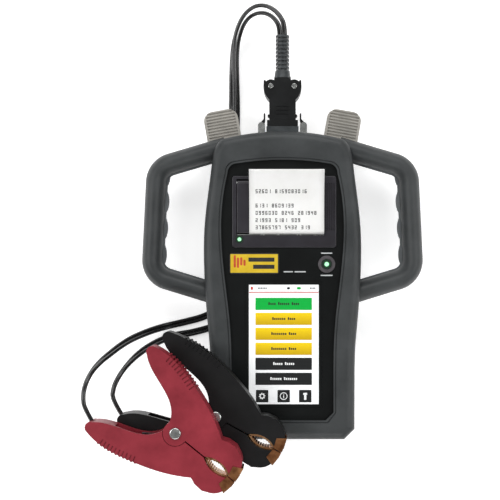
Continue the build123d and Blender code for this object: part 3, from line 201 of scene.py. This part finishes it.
def mottle(tree, shader, colours, size, roughness):
    """Varies colour and roughness in soft patches of about the given size in mm."""
    place = add_node(tree, "ShaderNodeTexCoord")
    patches = add_node(
        tree, "ShaderNodeTexNoise", {"Scale": 1 / (size * MM), "Detail": 4.0, "Roughness": 0.6},
        {"Vector": place.outputs["Object"]},
    )
    tint = add_node(tree, "ShaderNodeValToRGB", {}, {"Fac": patches.outputs["Fac"]})
    tint.color_ramp.elements[0].position = 0.3
    tint.color_ramp.elements[1].position = 0.7
    tint.color_ramp.elements[0].color = linear(colours[0])
    tint.color_ramp.elements[1].color = linear(colours[1])
    tree.links.new(tint.outputs["Color"], shader.inputs["Base Color"])
    rough = add_node(
        tree, "ShaderNodeMapRange", {"To Min": roughness[0], "To Max": roughness[1]},
        {"Value": patches.outputs["Fac"]},
    )
    tree.links.new(rough.outputs["Result"], shader.inputs["Roughness"])
    return place


def emboss(tree, shader, place, size, depth):
    """Adds a fine grain of the given size and depth in mm as bump."""
    grain = add_node(
        tree, "ShaderNodeTexNoise", {"Scale": 1 / (size * MM)}, {"Vector": place.outputs["Object"]}
    )
    bump = add_node(
        tree, "ShaderNodeBump", {"Strength": 0.6, "Distance": depth * MM}, {"Height": grain.outputs["Fac"]}
    )
    tree.links.new(bump.outputs["Normal"], shader.inputs["Normal"])


# extruded plasticised PVC: deep black, wet-looking highlights with a faint lengthwise waviness
pvc, tree, shader = start_material(
    "extruded PVC lead", "#0d0d0e", 0.2, Coat_Weight=0.35, Coat_Roughness=0.12
)
place = mottle(tree, shader, ("#0a0a0b", "#161617"), 9, (0.18, 0.34))
emboss(tree, shader, place, 1.6, 0.05)


def lead_profile(line):
    """The figure-8 section: on edge as it leaves the plug, flat under the boot, on edge again at the bend."""
    # share of the lead's length, roll of the pair in degrees
    rolls = ((0.0, 66), (0.14, 70), (0.24, 80), (0.34, 10), (0.70, 0), (0.76, 16), (0.88, 66), (1.0, 72))
    arc_half, arc_points = 161, 9

    def profile(i, tangent):
        share = i / (len(line) - 1)
        roll = 0.0
        for (start, low), (end, high) in zip(rolls, rolls[1:]):
            if start <= share <= end:
                roll = low + (high - low) * (share - start) / (end - start)
        level = Vector((0, 0, 1)).cross(tangent).normalized()
        across = Matrix.Rotation(radians(roll), 3, tangent) @ level
        up = tangent.cross(across)
        ring = []
        for side in (1, -1):
            for k in range(arc_points):
                angle = radians(-arc_half + 2 * arc_half / (arc_points - 1) * k)
                out = strand_spread + strand_radius * cos(angle)
                ring.append((across * out + up * strand_radius * sin(angle)) * side)
        return ring

    return profile


for colour, route in (("red", red_route), ("black", black_route)):
    line = smooth_line(route)
    lead = sweep(colour + "_twin_lead", line, lead_profile(line), pvc)
    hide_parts(colour + "_lead")

# ---- Rubber boot and handles -----------------------------------------------------------------------------
# One injection-moulded thermoplastic rubber boot, pulled over the casing, with a D handle on each side. The
# back halves of the handles have finger waves and are drawn in a paler grey, as painted light along their
# inner edge.


def dress(material, *names):
    """Gives CAD nodes a material."""
    for name in names:
        cad[name].data.materials.clear()
        cad[name].data.materials.append(material)


# charcoal rubber: dull, slightly greasy sheen, very fine spark-eroded grain, drawn coarse enough to show
rubber, tree, shader = start_material("moulded charcoal rubber", "#383b3c", 0.5, Specular_IOR_Level=0.45)
place = mottle(tree, shader, ("#2e3132", "#3f4243"), 26, (0.44, 0.58))
emboss(tree, shader, place, 0.7, 0.05)
dress(rubber, "rubber_boot")
# the same rubber painted paler, as painted light where the handles' inner edges catch it; evenly dull
painted_light_rubber, tree, shader = start_material("rubber painted paler as light", "#6a6e70", 0.5)
place = mottle(tree, shader, ("#5e6264", "#74787a"), 18, (0.5, 0.62))
emboss(tree, shader, place, 0.7, 0.05)
dress(painted_light_rubber, "left_grip_back", "right_grip_back")

# ---- Casing ----------------------------------------------------------------------------------------------
# Front and rear shells and the battery door, moulded ABS in near black, screwed together from the back.
# moulded ABS: near black, with only a soft sheen where light grazes it
abs_black, tree, shader = start_material("moulded black ABS", "#060909", 0.34, Specular_IOR_Level=0.3)
place = mottle(tree, shader, ("#040606", "#0a0e0e"), 30, (0.3, 0.42))
emboss(tree, shader, place, 0.5, 0.02)
dress(abs_black, "front_shell", "rear_shell", "battery_door", "screen_frame", "buzzer")

# ---- Hanging hooks ---------------------------------------------------------------------------------------
# Two flat nylon hooks that slide out of the back, with moulded ribs for the thumb. Light grey.
# moulded nylon: warm grey, satin, uneven where it is handled
nylon, tree, shader = start_material("moulded grey nylon", "#a5a29b", 0.45)
place = mottle(tree, shader, ("#97948d", "#b3afa7"), 14, (0.42, 0.6))
emboss(tree, shader, place, 0.8, 0.03)
dress(nylon, "left_hook", "right_hook")

# ---- Connector, plug and strain relief ---------------------------------------------------------------------
# A multi-way socket in a zinc flange with two spring latches, and a two-part hood held by two screws.
# moulded PBT: black and satin
pbt, tree, shader = start_material("moulded black PBT", "#0a0c0d", 0.38, Specular_IOR_Level=0.35)
place = mottle(tree, shader, ("#070809", "#101213"), 10, (0.32, 0.46))
emboss(tree, shader, place, 0.6, 0.03)
dress(pbt, "socket_shell", "plug_hood_front", "plug_hood_rear", "left_latch", "right_latch", "print_head")
# soft PVC: dark grey with a waxy shine on the ribs
soft_pvc, tree, shader = start_material("moulded soft PVC", "#3d4042", 0.34)
place = mottle(tree, shader, ("#2e3133", "#484c4e"), 6, (0.28, 0.42))
emboss(tree, shader, place, 0.6, 0.03)
dress(soft_pvc, "strain_relief")
# nickel plate: pale metal with small bright and cloudy patches
zinc, tree, shader = start_material("nickel-plated zinc", "#c9cbc8", 0.24, Metallic=1.0)
place = mottle(tree, shader, ("#b2b5b3", "#d9dbd8"), 4, (0.18, 0.34))
emboss(tree, shader, place, 0.5, 0.02)
dress(zinc, "latch_brackets", "plug_screws", "case_screws", "door_hinge_pin", "tear_bar", "print_motor")
dress(zinc, "red_clamp_rivet", "black_clamp_rivet", "display_module")
# painted zinc: slate grey with a faint metal depth
flange_zinc, tree, shader = start_material("painted zinc flange", "#3f4345", 0.4, Metallic=0.3)
place = mottle(tree, shader, ("#383c3e", "#4a4e50"), 6, (0.36, 0.5))
emboss(tree, shader, place, 0.5, 0.02)
dress(flange_zinc, "socket_flange")
# stamped brass: warm yellow metal, brighter on the rubbed patches
brass, tree, shader = start_material("stamped brass", "#c9a45a", 0.3, Metallic=1.0)
mottle(tree, shader, ("#b18c46", "#d8b56c"), 4, (0.24, 0.4))
dress(brass, "socket_contacts", "plug_contacts", "battery_contacts")

# ---- Panel printer ---------------------------------------------------------------------------------------
# A drop-in panel printer: bezel and hinged door in charcoal ABS, a rubber platen on the door's free edge, a
# toothed steel tear bar and a roll of thermal paper in the tray below.
# moulded ABS: charcoal with a trace of violet, a little glossier than the casing
abs_charcoal, tree, shader = start_material("moulded charcoal ABS", "#29272c", 0.32)
place = mottle(tree, shader, ("#242227", "#302e34"), 20, (0.27, 0.38))
emboss(tree, shader, place, 0.5, 0.02)
dress(abs_charcoal, "printer_bezel", "printer_door", "printer_housing")
# ground rubber: dull black with hardly a highlight
platen_rubber, tree, shader = start_material("ground platen rubber", "#1b1b1b", 0.6)
mottle(tree, shader, ("#171717", "#222222"), 5, (0.55, 0.7))
dress(platen_rubber, "platen_roller")
# coated paper: almost white, matt, with a very slight cockle
thermal, tree, shader = start_material("thermal paper", "#f6f6f4", 0.5)
place = mottle(tree, shader, ("#f1f1ee", "#fbfbfa"), 25, (0.42, 0.58))
emboss(tree, shader, place, 1.2, 0.01)
dress(thermal, "paper_roll")
# wound core board: brown-grey and fully matt
board, tree, shader = start_material("grey core board", "#8d7557", 0.8)
mottle(tree, shader, ("#7f684c", "#9c8464"), 4, (0.75, 0.9))
dress(board, "paper_core")

# The strip that has been printed, out of the slot and over the door, with its end curling up.
strip_low, strip_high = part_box("paper_strip")
strip_steps = 44
strip_half_thick = 0.11 * MM
strip_edge_y = strip_low.y + 0.13 * MM
strip_flat_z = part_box("printer_door")[1].z + 1.8 * MM
strip_curl_from = 0.058
strip_curl_power = 2.1
strip_rise_share, strip_bend_share = 0.07, 0.13
strip_bend_radius = 2.3 * MM


def strip_height(y):
    """Height of the strip's middle line beyond the bend: flat on the door, then curling up."""
    curl = max(0.0, (y - strip_curl_from) / (strip_high.y - strip_curl_from))
    return strip_flat_z + (strip_high.z - 0.2 * MM - strip_flat_z) * curl**strip_curl_power


def strip_point(share):
    """A point on the strip's middle line: up out of the slot, over the edge, then along the door."""
    if share < strip_rise_share:
        rise = strip_flat_z - strip_low.z - strip_bend_radius - 0.3 * MM
        return Vector((0, strip_edge_y, strip_low.z + 0.3 * MM + rise * share / strip_rise_share))
    bend_end_y = strip_edge_y + strip_bend_radius
    if share < strip_bend_share:
        angle = (share - strip_rise_share) / (strip_bend_share - strip_rise_share) * pi / 2
        return Vector((
            0, strip_edge_y + strip_bend_radius * (1 - cos(angle)),
            strip_flat_z - strip_bend_radius * (1 - sin(angle)),
        ))
    run = (share - strip_bend_share) / (1 - strip_bend_share)
    y = bend_end_y + run * (strip_high.y - 0.25 * MM - bend_end_y)
    return Vector((0, y, strip_height(y)))


def strip_profile(i, tangent):
    """The strip's thin flat section, with thirteen points across each side."""
    up = Vector((1, 0, 0)).cross(tangent)
    middle_x = (strip_low.x + strip_high.x) / 2
    half_wide = (strip_high.x - strip_low.x) / 2 * 0.999
    ring = []
    for side in (1, -1):
        for k in range(13):
            across = side * (1 - 2 * k / 12)
            x = middle_x - across * half_wide
            ring.append(Vector((x, 0, 0)) + up * side * strip_half_thick)
    return ring


strip_line = [strip_point(i / strip_steps) for i in range(strip_steps + 1)]
strip = sweep("printed_strip", strip_line, strip_profile, thermal, None)
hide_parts("paper_strip")


def plate_outline(x, y, wide, deep, rounding):
    """The outline of a plate round x, y, with rounded corners if rounding is above zero."""
    corner_steps = 5
    if rounding <= 0:
        return [(x + sx * wide / 2, y + sy * deep / 2) for sx, sy in ((1, 1), (-1, 1), (-1, -1), (1, -1))]
    side_x, side_y = wide / 2 - rounding, deep / 2 - rounding
    outline = []
    for start, (sx, sy) in enumerate(((1, 1), (-1, 1), (-1, -1), (1, -1))):
        for k in range(corner_steps + 1):
            angle = (start + k / corner_steps) * pi / 2
            outline.append((x + sx * side_x + rounding * cos(angle), y + sy * side_y + rounding * sin(angle)))
    return outline


def plates(name, places, thick, material, body="root", rounding=0.0, height_at=None):
    """Thin raised marks. A place is (x, y, width, depth, base z); height_at(y) gives the base instead."""
    mesh = bmesh.new()
    for x, y, wide, deep, base in places:
        outline = plate_outline(x, y, wide, deep, min(rounding, wide / 2, deep / 2))
        bases = [height_at(py) if height_at else base for _, py in outline]
        low = [mesh.verts.new((px, py, z)) for (px, py), z in zip(outline, bases)]
        high = [mesh.verts.new((px, py, z + thick)) for (px, py), z in zip(outline, bases)]
        join_rings(mesh, low, high)
        mesh.faces.new(high)
        mesh.faces.new(list(reversed(low)))
    return add_object(name, closed_mesh(name, mesh), material, body)


# Printed readings: rows of seven-stroke digits, spaced as words, with no wording.
# thermal print: soft black, a shade greyer where the head ran cooler
print_black, tree, shader = start_material("thermal print", "#1a1a1c", 0.6)
mottle(tree, shader, ("#111113", "#2a2a2d"), 3, (0.5, 0.7))
digit_wide, digit_deep, digit_pitch, stroke = 1.55 * MM, 2.9 * MM, 2.5 * MM, 0.5 * MM
strokes_of_digit = ("ABCDEF", "BC", "ABGED", "ABGCD", "FGBC", "AFGCD", "AFGEDC", "ABC", "ABCDEFG", "ABCDFG")


def digit_strokes(x, y, digit):
    """The strokes of one seven-stroke digit with its lower left corner at x, y."""
    half = (digit_deep - stroke) / 2
    spots = {
        "A": (digit_wide / 2, digit_deep - stroke / 2, digit_wide, stroke),
        "G": (digit_wide / 2, digit_deep / 2, digit_wide, stroke),
        "D": (digit_wide / 2, stroke / 2, digit_wide, stroke),
        "F": (stroke / 2, digit_deep * 0.75, stroke, half),
        "B": (digit_wide - stroke / 2, digit_deep * 0.75, stroke, half),
        "E": (stroke / 2, digit_deep * 0.25, stroke, half),
        "C": (digit_wide - stroke / 2, digit_deep * 0.25, stroke, half),
    }
    return [(x + spots[s][0], y + spots[s][1], spots[s][2], spots[s][3], 0) for s in strokes_of_digit[digit]]


draw = Random(7)
# height of each row in mm, and how many digits stand in each group
rows = ((70.4, (5, 10)), (59.6, (4, 7)), (54.0, (7, 4, 6)), (48.4, (5, 4, 3)), (42.9, (8, 4, 3)))
marks = []
for row_y, words in rows:
    x = -20.6 * MM
    for word in words:
        for _ in range(word):
            marks += digit_strokes(x, row_y * MM, draw.randrange(10))
            x += digit_pitch
        x += digit_pitch


def strip_top(y):
    """Height of the strip's upper face."""
    return strip_height(y) + strip_half_thick


readings = plates("printed_readings", marks, 0.05 * MM, print_black, None, height_at=strip_top)
for piece in (strip, readings):
    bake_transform(piece)

# ---- Buttons and LEDs ------------------------------------------------------------------------------------
# Round push buttons, each with a clear green LED in its middle; the power button sits in a grey ring.
# clear-coated ABS: dark green under a thin gloss
ring_green, tree, shader = start_material("moulded dark green button", "#16301f", 0.3, Coat_Weight=0.3)
mottle(tree, shader, ("#11261a", "#1d3c28"), 3, (0.25, 0.38))
dress(ring_green, "feed_button", "power_button")
# moulded ABS: mid grey and satin
grey_abs, tree, shader = start_material("moulded grey ABS", "#4b474a", 0.36)
mottle(tree, shader, ("#434043", "#555154"), 4, (0.3, 0.44))
dress(grey_abs, "power_ring")
# clear epoxy lens, lit from inside: pale green, glowing evenly
led, tree, shader = start_material(
    "lit green LED", "#b8f0c8", 0.2, Emission_Color=linear("#7fe89c"), Emission_Strength=0.7
)
mottle(tree, shader, ("#9fe8b4", "#d4fadf"), 1.4, (0.15, 0.28))
dress(led, "feed_led", "power_led")

# ---- Badge -----------------------------------------------------------------------------------------------
# A thin printed aluminium plate set in the face: gold ground, black border, two dark bars and four red
# strokes, with no wording.
# printed aluminium: flat gold ink with only a hint of the metal under it
gold, tree, shader = start_material("gold-printed aluminium", "#e3c02c", 0.36, Metallic=0.1)
place = mottle(tree, shader, ("#dbb824", "#ecca38"), 8, (0.28, 0.4))
emboss(tree, shader, place, 0.4, 0.01)
dress(gold, "badge_plate")
badge_low, badge_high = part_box("badge_plate")
badge_x, badge_y = (badge_low.x + badge_high.x) / 2, (badge_low.y + badge_high.y) / 2
badge_w, badge_h = badge_high.x - badge_low.x, badge_high.y - badge_low.y
ink_top = badge_high.z
border = 0.9 * MM
ink = [
    (badge_x, badge_low.y + border / 2, badge_w, border, ink_top),
    (badge_x, badge_high.y - border / 2, badge_w, border, ink_top),
    (badge_low.x + border / 2, badge_y, border, badge_h, ink_top),
    (badge_high.x - border / 2, badge_y, border, badge_h, ink_top),
    (badge_x + 5.6 * MM, badge_y + 2.9 * MM, 20 * MM, 3.2 * MM, ink_top),
    (badge_x + 7.4 * MM, badge_y - 2.6 * MM, 16.4 * MM, 3.2 * MM, ink_top),
]
plates("badge_ink", ink, 0.04 * MM, print_black, rounding=0.25 * MM)
# screen-printing ink: brick red, slightly uneven
badge_red, tree, shader = start_material("red printing ink", "#c4472a", 0.4)
mottle(tree, shader, ("#b83e22", "#d55a38"), 4, (0.35, 0.45))
strokes = [
    (
        badge_low.x + (4.2 + 2.5 * i) * MM, badge_y + (1.6 - 1.1 * (i % 2)) * MM,
        1.7 * MM, (9.6 - 1.6 * i) * MM, ink_top,
    )
    for i in range(4)
]
plates("badge_mark", strokes, 0.04 * MM, badge_red, rounding=0.8 * MM)

# Small raised dashes on the face, where such testers have their legends.
# pad-printing ink: light grey and matt
legend, tree, shader = start_material("pad-printed legend", "#c9cdce", 0.5)
mottle(tree, shader, ("#b8bcbd", "#d6dadb"), 3, (0.45, 0.6))
face_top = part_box("front_shell")[1].z
legends = [
    (x * MM, y * MM, wide * MM, 0.9 * MM, face_top)
    for x, y, wide in ((34.0, 24.7, 8.6), (34.0, 7.6, 9.2), (4.4, 10.4, 7.2), (13.6, 10.4, 8.6))
]
plates("face_legends", legends, 0.04 * MM, legend, rounding=0.2 * MM)

# ---- Touch screen ----------------------------------------------------------------------------------------
# A bonded 4.3-inch touch display. The lit picture is drawn as thin plates: a menu of one green, three amber
# and two dark keys, and three square icon keys, with dashes in place of words.
# lit display glass: glossy and near white, with a faint unevenness of the backlight
screen_white, tree, shader = start_material(
    "lit display white", "#f5f7f8", 0.16, Coat_Weight=0.6, Coat_Roughness=0.08,
    Emission_Color=linear("#f5f7f8"), Emission_Strength=0.3,
)
mottle(tree, shader, ("#f1f3f5", "#f9fbfb"), 30, (0.12, 0.2))
dress(screen_white, "touch_screen")
glass_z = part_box("touch_screen")[1].z


def lit(name, colour, glow=0.12):
    """A lit colour on the display, even all over under the glossy glass."""
    return start_material(
        name, colour, 0.2, Coat_Weight=0.6, Coat_Roughness=0.08,
        Emission_Color=linear(colour), Emission_Strength=glow,
    )[0]


lit_green = lit("lit green key", "#00b140")
lit_dark = lit("lit dark key", "#1c1e1f", 0.05)
lit_red = lit("lit red line", "#c8352c")
lit_ink = lit("lit black print", "#26282a", 0.1)
lit_pale = lit("lit white print", "#e8eaea", 0.3)
lit_amber, tree, shader = start_material(
    "lit amber key", "#ecc000", 0.2, Coat_Weight=0.6, Coat_Roughness=0.08, Emission_Strength=0.12
)
key_wide, key_deep, key_pitch = 43.5 * MM, 9.4 * MM, 11.55 * MM
key_x, first_key_y = 0.9 * MM, -14.35 * MM
key_ys = [first_key_y - key_pitch * i for i in range(6)]
# the amber keys shade from bright at the top to deep at the bottom
place = add_node(tree, "ShaderNodeTexCoord")
split = add_node(tree, "ShaderNodeSeparateXYZ", {}, {"Vector": place.outputs["Object"]})
shift = add_node(
    tree, "ShaderNodeMath", {"operation": "SUBTRACT", 1: key_ys[1] + key_pitch / 2}, {0: split.outputs["Y"]}
)
folded = add_node(tree, "ShaderNodeMath", {"operation": "WRAP", 1: 0.0, 2: -key_pitch}, {0: shift.outputs[0]})
share = add_node(tree, "ShaderNodeMath", {"operation": "DIVIDE", 1: -key_pitch}, {0: folded.outputs[0]})
ramp = add_node(tree, "ShaderNodeValToRGB", {}, {"Fac": share.outputs[0]})
ramp.color_ramp.elements[0].color = linear("#ffdc10")
ramp.color_ramp.elements[1].color = linear("#c49d00")
tree.links.new(ramp.outputs["Color"], shader.inputs["Base Color"])
tree.links.new(ramp.outputs["Color"], shader.inputs["Emission Color"])

keys = [(key_x, y, key_wide, key_deep, glass_z) for y in key_ys]
picture_thick = 0.04 * MM
plates("key_green", keys[:1], picture_thick, lit_green, rounding=0.5 * MM)
plates("keys_amber", keys[1:4], picture_thick, lit_amber, rounding=0.5 * MM)
plates("keys_dark", keys[4:], picture_thick, lit_dark, rounding=0.5 * MM)
icon_xs = [key_x + 16.6 * MM * (i - 1) for i in range(3)]
icon_y, icon_size = -85.4 * MM, 9.6 * MM
icon_keys = [(x, icon_y, icon_size, icon_size, glass_z) for x in icon_xs]
plates("icon_keys", icon_keys, picture_thick, lit_dark, rounding=0.6 * MM)
status_line = (key_x + 0.1 * MM, -5.4 * MM, 53.4 * MM, 0.7 * MM, glass_z)
plates("status_line", [status_line], picture_thick, lit_red)


def dashes(y, words, pitch=1.5):
    """A centred row of short dashes, one group for each word."""
    total = (sum(words) + len(words) - 1) * pitch
    spots, x = [], key_x - total / 2 * MM
    for word in words:
        for letter in range(word):
            tall = 2.1 if letter == 0 else 1.5
            middle_y = y + (tall - 1.6) / 2 * MM
            spots.append((x + pitch / 2 * MM, middle_y, 1.05 * MM, tall * MM, glass_z + picture_thick))
            x += pitch * MM
        x += pitch * MM
    return spots


words_of_keys = ((4, 6, 4), (7, 4), (8, 4), (8, 4), (5, 5), (6, 7))
dark_words, pale_words = [], []
for y, words in zip(key_ys, words_of_keys):
    (pale_words if y in key_ys[4:] else dark_words).extend(dashes(y, words))
plates("key_words_dark", dark_words, 0.03 * MM, lit_ink)
plates("key_words_pale", pale_words, 0.03 * MM, lit_pale)

# status bar: a small red drop, a dash, a signal bead and a green cell
status_y = -2.3 * MM
status_mark = (-23.6 * MM, status_y, 1.6 * MM, 2.6 * MM, glass_z)
status_bead = (4.6 * MM, status_y, 2.4 * MM, 1.8 * MM, glass_z)
status_cell = (12.6 * MM, status_y, 3.2 * MM, 1.9 * MM, glass_z)
status_words = [(-18.6 * MM + i * 1.2 * MM, status_y, 0.8 * MM, 1.1 * MM, glass_z) for i in range(6)]
status_words += [(21.6 * MM + i * 1.1 * MM, status_y, 0.7 * MM, 1.1 * MM, glass_z) for i in range(4)]
plates("status_mark", [status_mark], picture_thick, lit_red, rounding=0.8 * MM)
plates("status_words", status_words, picture_thick, lit_ink)
plates("status_bead", [status_bead], picture_thick, lit_ink, rounding=0.9 * MM)
plates("status_cell", [status_cell], picture_thick, lit_green, rounding=0.9 * MM)


def ring_mark(name, x, y, outer, inner, teeth=0):
    """A flat ring on an icon key, with teeth round it for the settings wheel."""
    mesh = bmesh.new()
    steps, tooth_steps, tooth_rise = 48, 3, 0.5 * MM
    toothed = [
        outer + (tooth_rise if teeth and k % (steps // teeth) < tooth_steps else 0) for k in range(steps)
    ]
    angles = [2 * pi * k / steps for k in range(steps)]
    loops = []
    for z in (glass_z + picture_thick, glass_z + 0.07 * MM):
        for radii in ([inner] * steps, toothed):
            loops.append([
                mesh.verts.new((x + radius * cos(angle), y + radius * sin(angle), z))
                for radius, angle in zip(radii, angles)
            ])
    low_in, low_out, high_in, high_out = loops
    for one, two in ((low_in, low_out), (low_out, high_out), (high_out, high_in), (high_in, low_in)):
        join_rings(mesh, one, two)
    return add_object(name, closed_mesh(name, mesh), lit_pale)


ring_mark("icon_wheel", icon_xs[0], icon_y, 2.0 * MM, 1.1 * MM, teeth=8)
ring_mark("icon_round", icon_xs[1], icon_y, 2.9 * MM, 2.35 * MM)
mark_z = glass_z + picture_thick
plates(
    "icon_strokes",
    [
        (icon_xs[1], icon_y - 0.5 * MM, 0.6 * MM, 2.2 * MM, mark_z),
        (icon_xs[1], icon_y + 1.4 * MM, 0.6 * MM, 0.6 * MM, mark_z),
        (icon_xs[2], icon_y + 1.7 * MM, 3.0 * MM, 1.6 * MM, mark_z),
        (icon_xs[2], icon_y - 1.0 * MM, 1.7 * MM, 3.8 * MM, mark_z),
    ],
    0.03 * MM, lit_pale, rounding=0.2 * MM,
)

# ---- Boards and cells ------------------------------------------------------------------------------------
# Inside: glass-epoxy boards and six cells in printed foil.
# solder mask over glass epoxy: deep green and glossy
epoxy, tree, shader = start_material("glass-epoxy board", "#1f5c37", 0.35)
mottle(tree, shader, ("#1a5030", "#266a41"), 6, (0.3, 0.42))
dress(epoxy, "main_board", "display_board")
# printed foil: blue-grey with a broken metal sheen
foil, tree, shader = start_material("printed cell foil", "#3a3d48", 0.3, Metallic=0.5)
mottle(tree, shader, ("#31343e", "#464a56"), 12, (0.25, 0.38))
dress(foil, "battery_cells")

# ---- Clamps ----------------------------------------------------------------------------------------------
# Battery clamps: two glass-filled nylon levers on a zinc rivet, shut by a torsion spring, with folded copper
# jaws over their tips.
# glass-filled nylon: dusty red, softly clouded by the filler
red_nylon, tree, shader = start_material("moulded red nylon", "#8c2632", 0.42, Specular_IOR_Level=0.4)
place = mottle(tree, shader, ("#7e1f2b", "#9b2e3b"), 22, (0.36, 0.5))
emboss(tree, shader, place, 0.7, 0.04)
dress(red_nylon, "red_clamp_lower", "red_clamp_upper")
# the same nylon in black, clouded less
black_nylon, tree, shader = start_material("moulded black nylon", "#0b0b0c", 0.42, Specular_IOR_Level=0.35)
place = mottle(tree, shader, ("#070708", "#121213"), 18, (0.36, 0.52))
emboss(tree, shader, place, 0.7, 0.04)
dress(black_nylon, "black_clamp_lower", "black_clamp_upper")
# folded copper sheet: brown where it has tarnished, bright where it has rubbed
copper, tree, shader = start_material("folded copper", "#b8774a", 0.3, Metallic=1.0)
place = mottle(tree, shader, ("#8f5a3a", "#e2a06c"), 9, (0.22, 0.44))
emboss(tree, shader, place, 0.6, 0.03)
dress(copper, "red_jaw_lower", "red_jaw_upper", "black_jaw_lower", "black_jaw_upper")

# Serrated copper contact strips line the lens of each pair of jaws, one on each lever.
# cut copper: brighter than the folded sheet, as the teeth wear clean
bright_copper, tree, shader = start_material("bright copper", "#e8a270", 0.26, Metallic=1.0)
place = mottle(tree, shader, ("#b8733f", "#ffcf9f"), 5, (0.18, 0.36))
emboss(tree, shader, place, 0.5, 0.02)
clamp_turns = {"red": radians(-39.1), "black": radians(-28.6)}
pivots = {j["name"]: Vector(j["pos_m"]) for j in frame["joints"] if "pos_m" in j}
lens_from, lens_to, lens_rise, teeth = 28.0 * MM, 50.4 * MM, 4.3 * MM, 12
lens_edge, contact_half = 0.35 * MM, 7.2 * MM
tooth_root, tooth_tip = 1.3, 1.9
for colour, turn in clamp_turns.items():
    pivot = pivots[colour + "_clamp_hinge"]
    for side, half, body in ((1, "upper", colour + "_clamp_lever"), (-1, "lower", "root")):
        mesh = bmesh.new()
        rows = []
        for k in range(2 * teeth + 1):
            share = k / (2 * teeth)
            x = lens_from + (lens_to - lens_from) * share
            outer = lens_edge + (lens_rise - lens_edge) * sin(pi * share)
            inner = max(0.3 * MM, outer - (tooth_tip if k % 2 else tooth_root) * MM)
            rows.append([
                mesh.verts.new(pivot + Matrix.Rotation(turn, 3, "Z") @ Vector((x, side * y, z)))
                for y, z in (
                    (inner, contact_half), (outer, contact_half),
                    (outer, -contact_half), (inner, -contact_half),
                )
            ])
        for one, two in zip(rows, rows[1:]):
            join_rings(mesh, one, two)
        mesh.faces.new(list(reversed(rows[0])))
        mesh.faces.new(rows[-1])
        contact = add_object(
            colour + "_contact_" + half, closed_mesh("contact", mesh), bright_copper, body
        )

# Torsion springs of round steel wire: a short coil round the rivet and a leg inside each lever.
# oiled steel wire: dark grey metal with narrow highlights
spring_steel, tree, shader = start_material("oiled spring steel", "#6b6d6e", 0.35, Metallic=1.0)
mottle(tree, shader, ("#55585a", "#808385"), 3, (0.28, 0.45))
wire_radius, coil_radius, coil_turns, steps = 0.8 * MM, 4.9 * MM, 4, 96
leg_x, leg_y, coil_half, leg_angle = -19 * MM, 17.4 * MM, 3 * MM, 108


def round_wire(i, tangent):
    """A ten-sided section across the wire."""
    side = tangent.cross(Vector((0, 0, 1))).normalized()
    up = side.cross(tangent)
    return [(side * cos(2 * pi * k / 10) + up * sin(2 * pi * k / 10)) * wire_radius for k in range(10)]


for colour, turn in clamp_turns.items():
    pivot = pivots[colour + "_clamp_hinge"]
    spin = Matrix.Rotation(turn, 3, "Z")
    wire = [Vector((leg_x, leg_y, coil_half))]
    for k in range(steps + 1):
        angle = radians(leg_angle) + (2 * pi * coil_turns - radians(2 * leg_angle)) * k / steps
        drop = coil_half * (1 - 2 * k / steps)
        wire.append(Vector((coil_radius * cos(angle), coil_radius * sin(angle), drop)))
    wire.append(Vector((leg_x, -leg_y, -coil_half)))
    spring = sweep(
        colour + "_spring_wire", [pivot + spin @ point for point in wire], round_wire, spring_steel, None
    )
    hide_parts(colour + "_clamp_spring")
    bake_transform(spring)

# ---- Floor and lights --------------------------------------------------------------------------------------
# A light table of opal acrylic, lit from below, with four soft boxes round it. They stand off the camera's
# axis, so that flat glossy faces stay dark and rounded edges pick up light.
floor_mesh = bpy.data.meshes.new("floor")
floor_mesh.from_pydata([(-3, -3, 0), (3, -3, 0), (3, 3, 0), (-3, 3, 0)], [], [(0, 1, 2, 3)])
floor = bpy.data.objects.new("floor", floor_mesh)
bpy.context.scene.collection.objects.link(floor)
# opal acrylic, lit from below: even white without a clear reflection
opal, tree, shader = start_material(
    "opal acrylic", "#f4f4f4", 0.7, Emission_Color=linear("#ffffff"), Emission_Strength=0.55
)
mottle(tree, shader, ("#f2f2f2", "#f6f6f6"), 200, (0.65, 0.75))
floor.data.materials.append(opal)


def soft_light(name, place, aim, width, depth, watts):
    """A rectangular soft box at place, turned to face aim."""
    data = bpy.data.lights.new(name, "AREA")
    data.shape = "RECTANGLE"
    data.size, data.size_y = width, depth
    data.energy = watts
    lamp = bpy.data.objects.new(name, data)
    bpy.context.scene.collection.objects.link(lamp)
    lamp.location = place
    lamp.rotation_euler = (Vector(aim) - Vector(place)).to_track_quat("-Z", "Y").to_euler()


soft_light("left box", (-1.1, 0.1, 1.0), (0, 0, 0), 0.5, 1.2, 8.0)
soft_light("right box", (1.1, 0.0, 1.0), (0, 0, 0), 0.5, 1.2, 6.5)
soft_light("head box", (0.0, 1.15, 1.0), (0, 0.05, 0), 1.2, 0.5, 9.5)
soft_light("foot box", (0.0, -1.2, 0.9), (0, -0.05, 0), 1.2, 0.4, 6.5)
world = bpy.data.worlds.new("studio")
world.use_nodes = True
world.node_tree.nodes["Background"].inputs["Color"].default_value = (1, 1, 1, 1)
world.node_tree.nodes["Background"].inputs["Strength"].default_value = 0.24
bpy.context.scene.world = world
bpy.context.scene.view_settings.view_transform = "Standard"
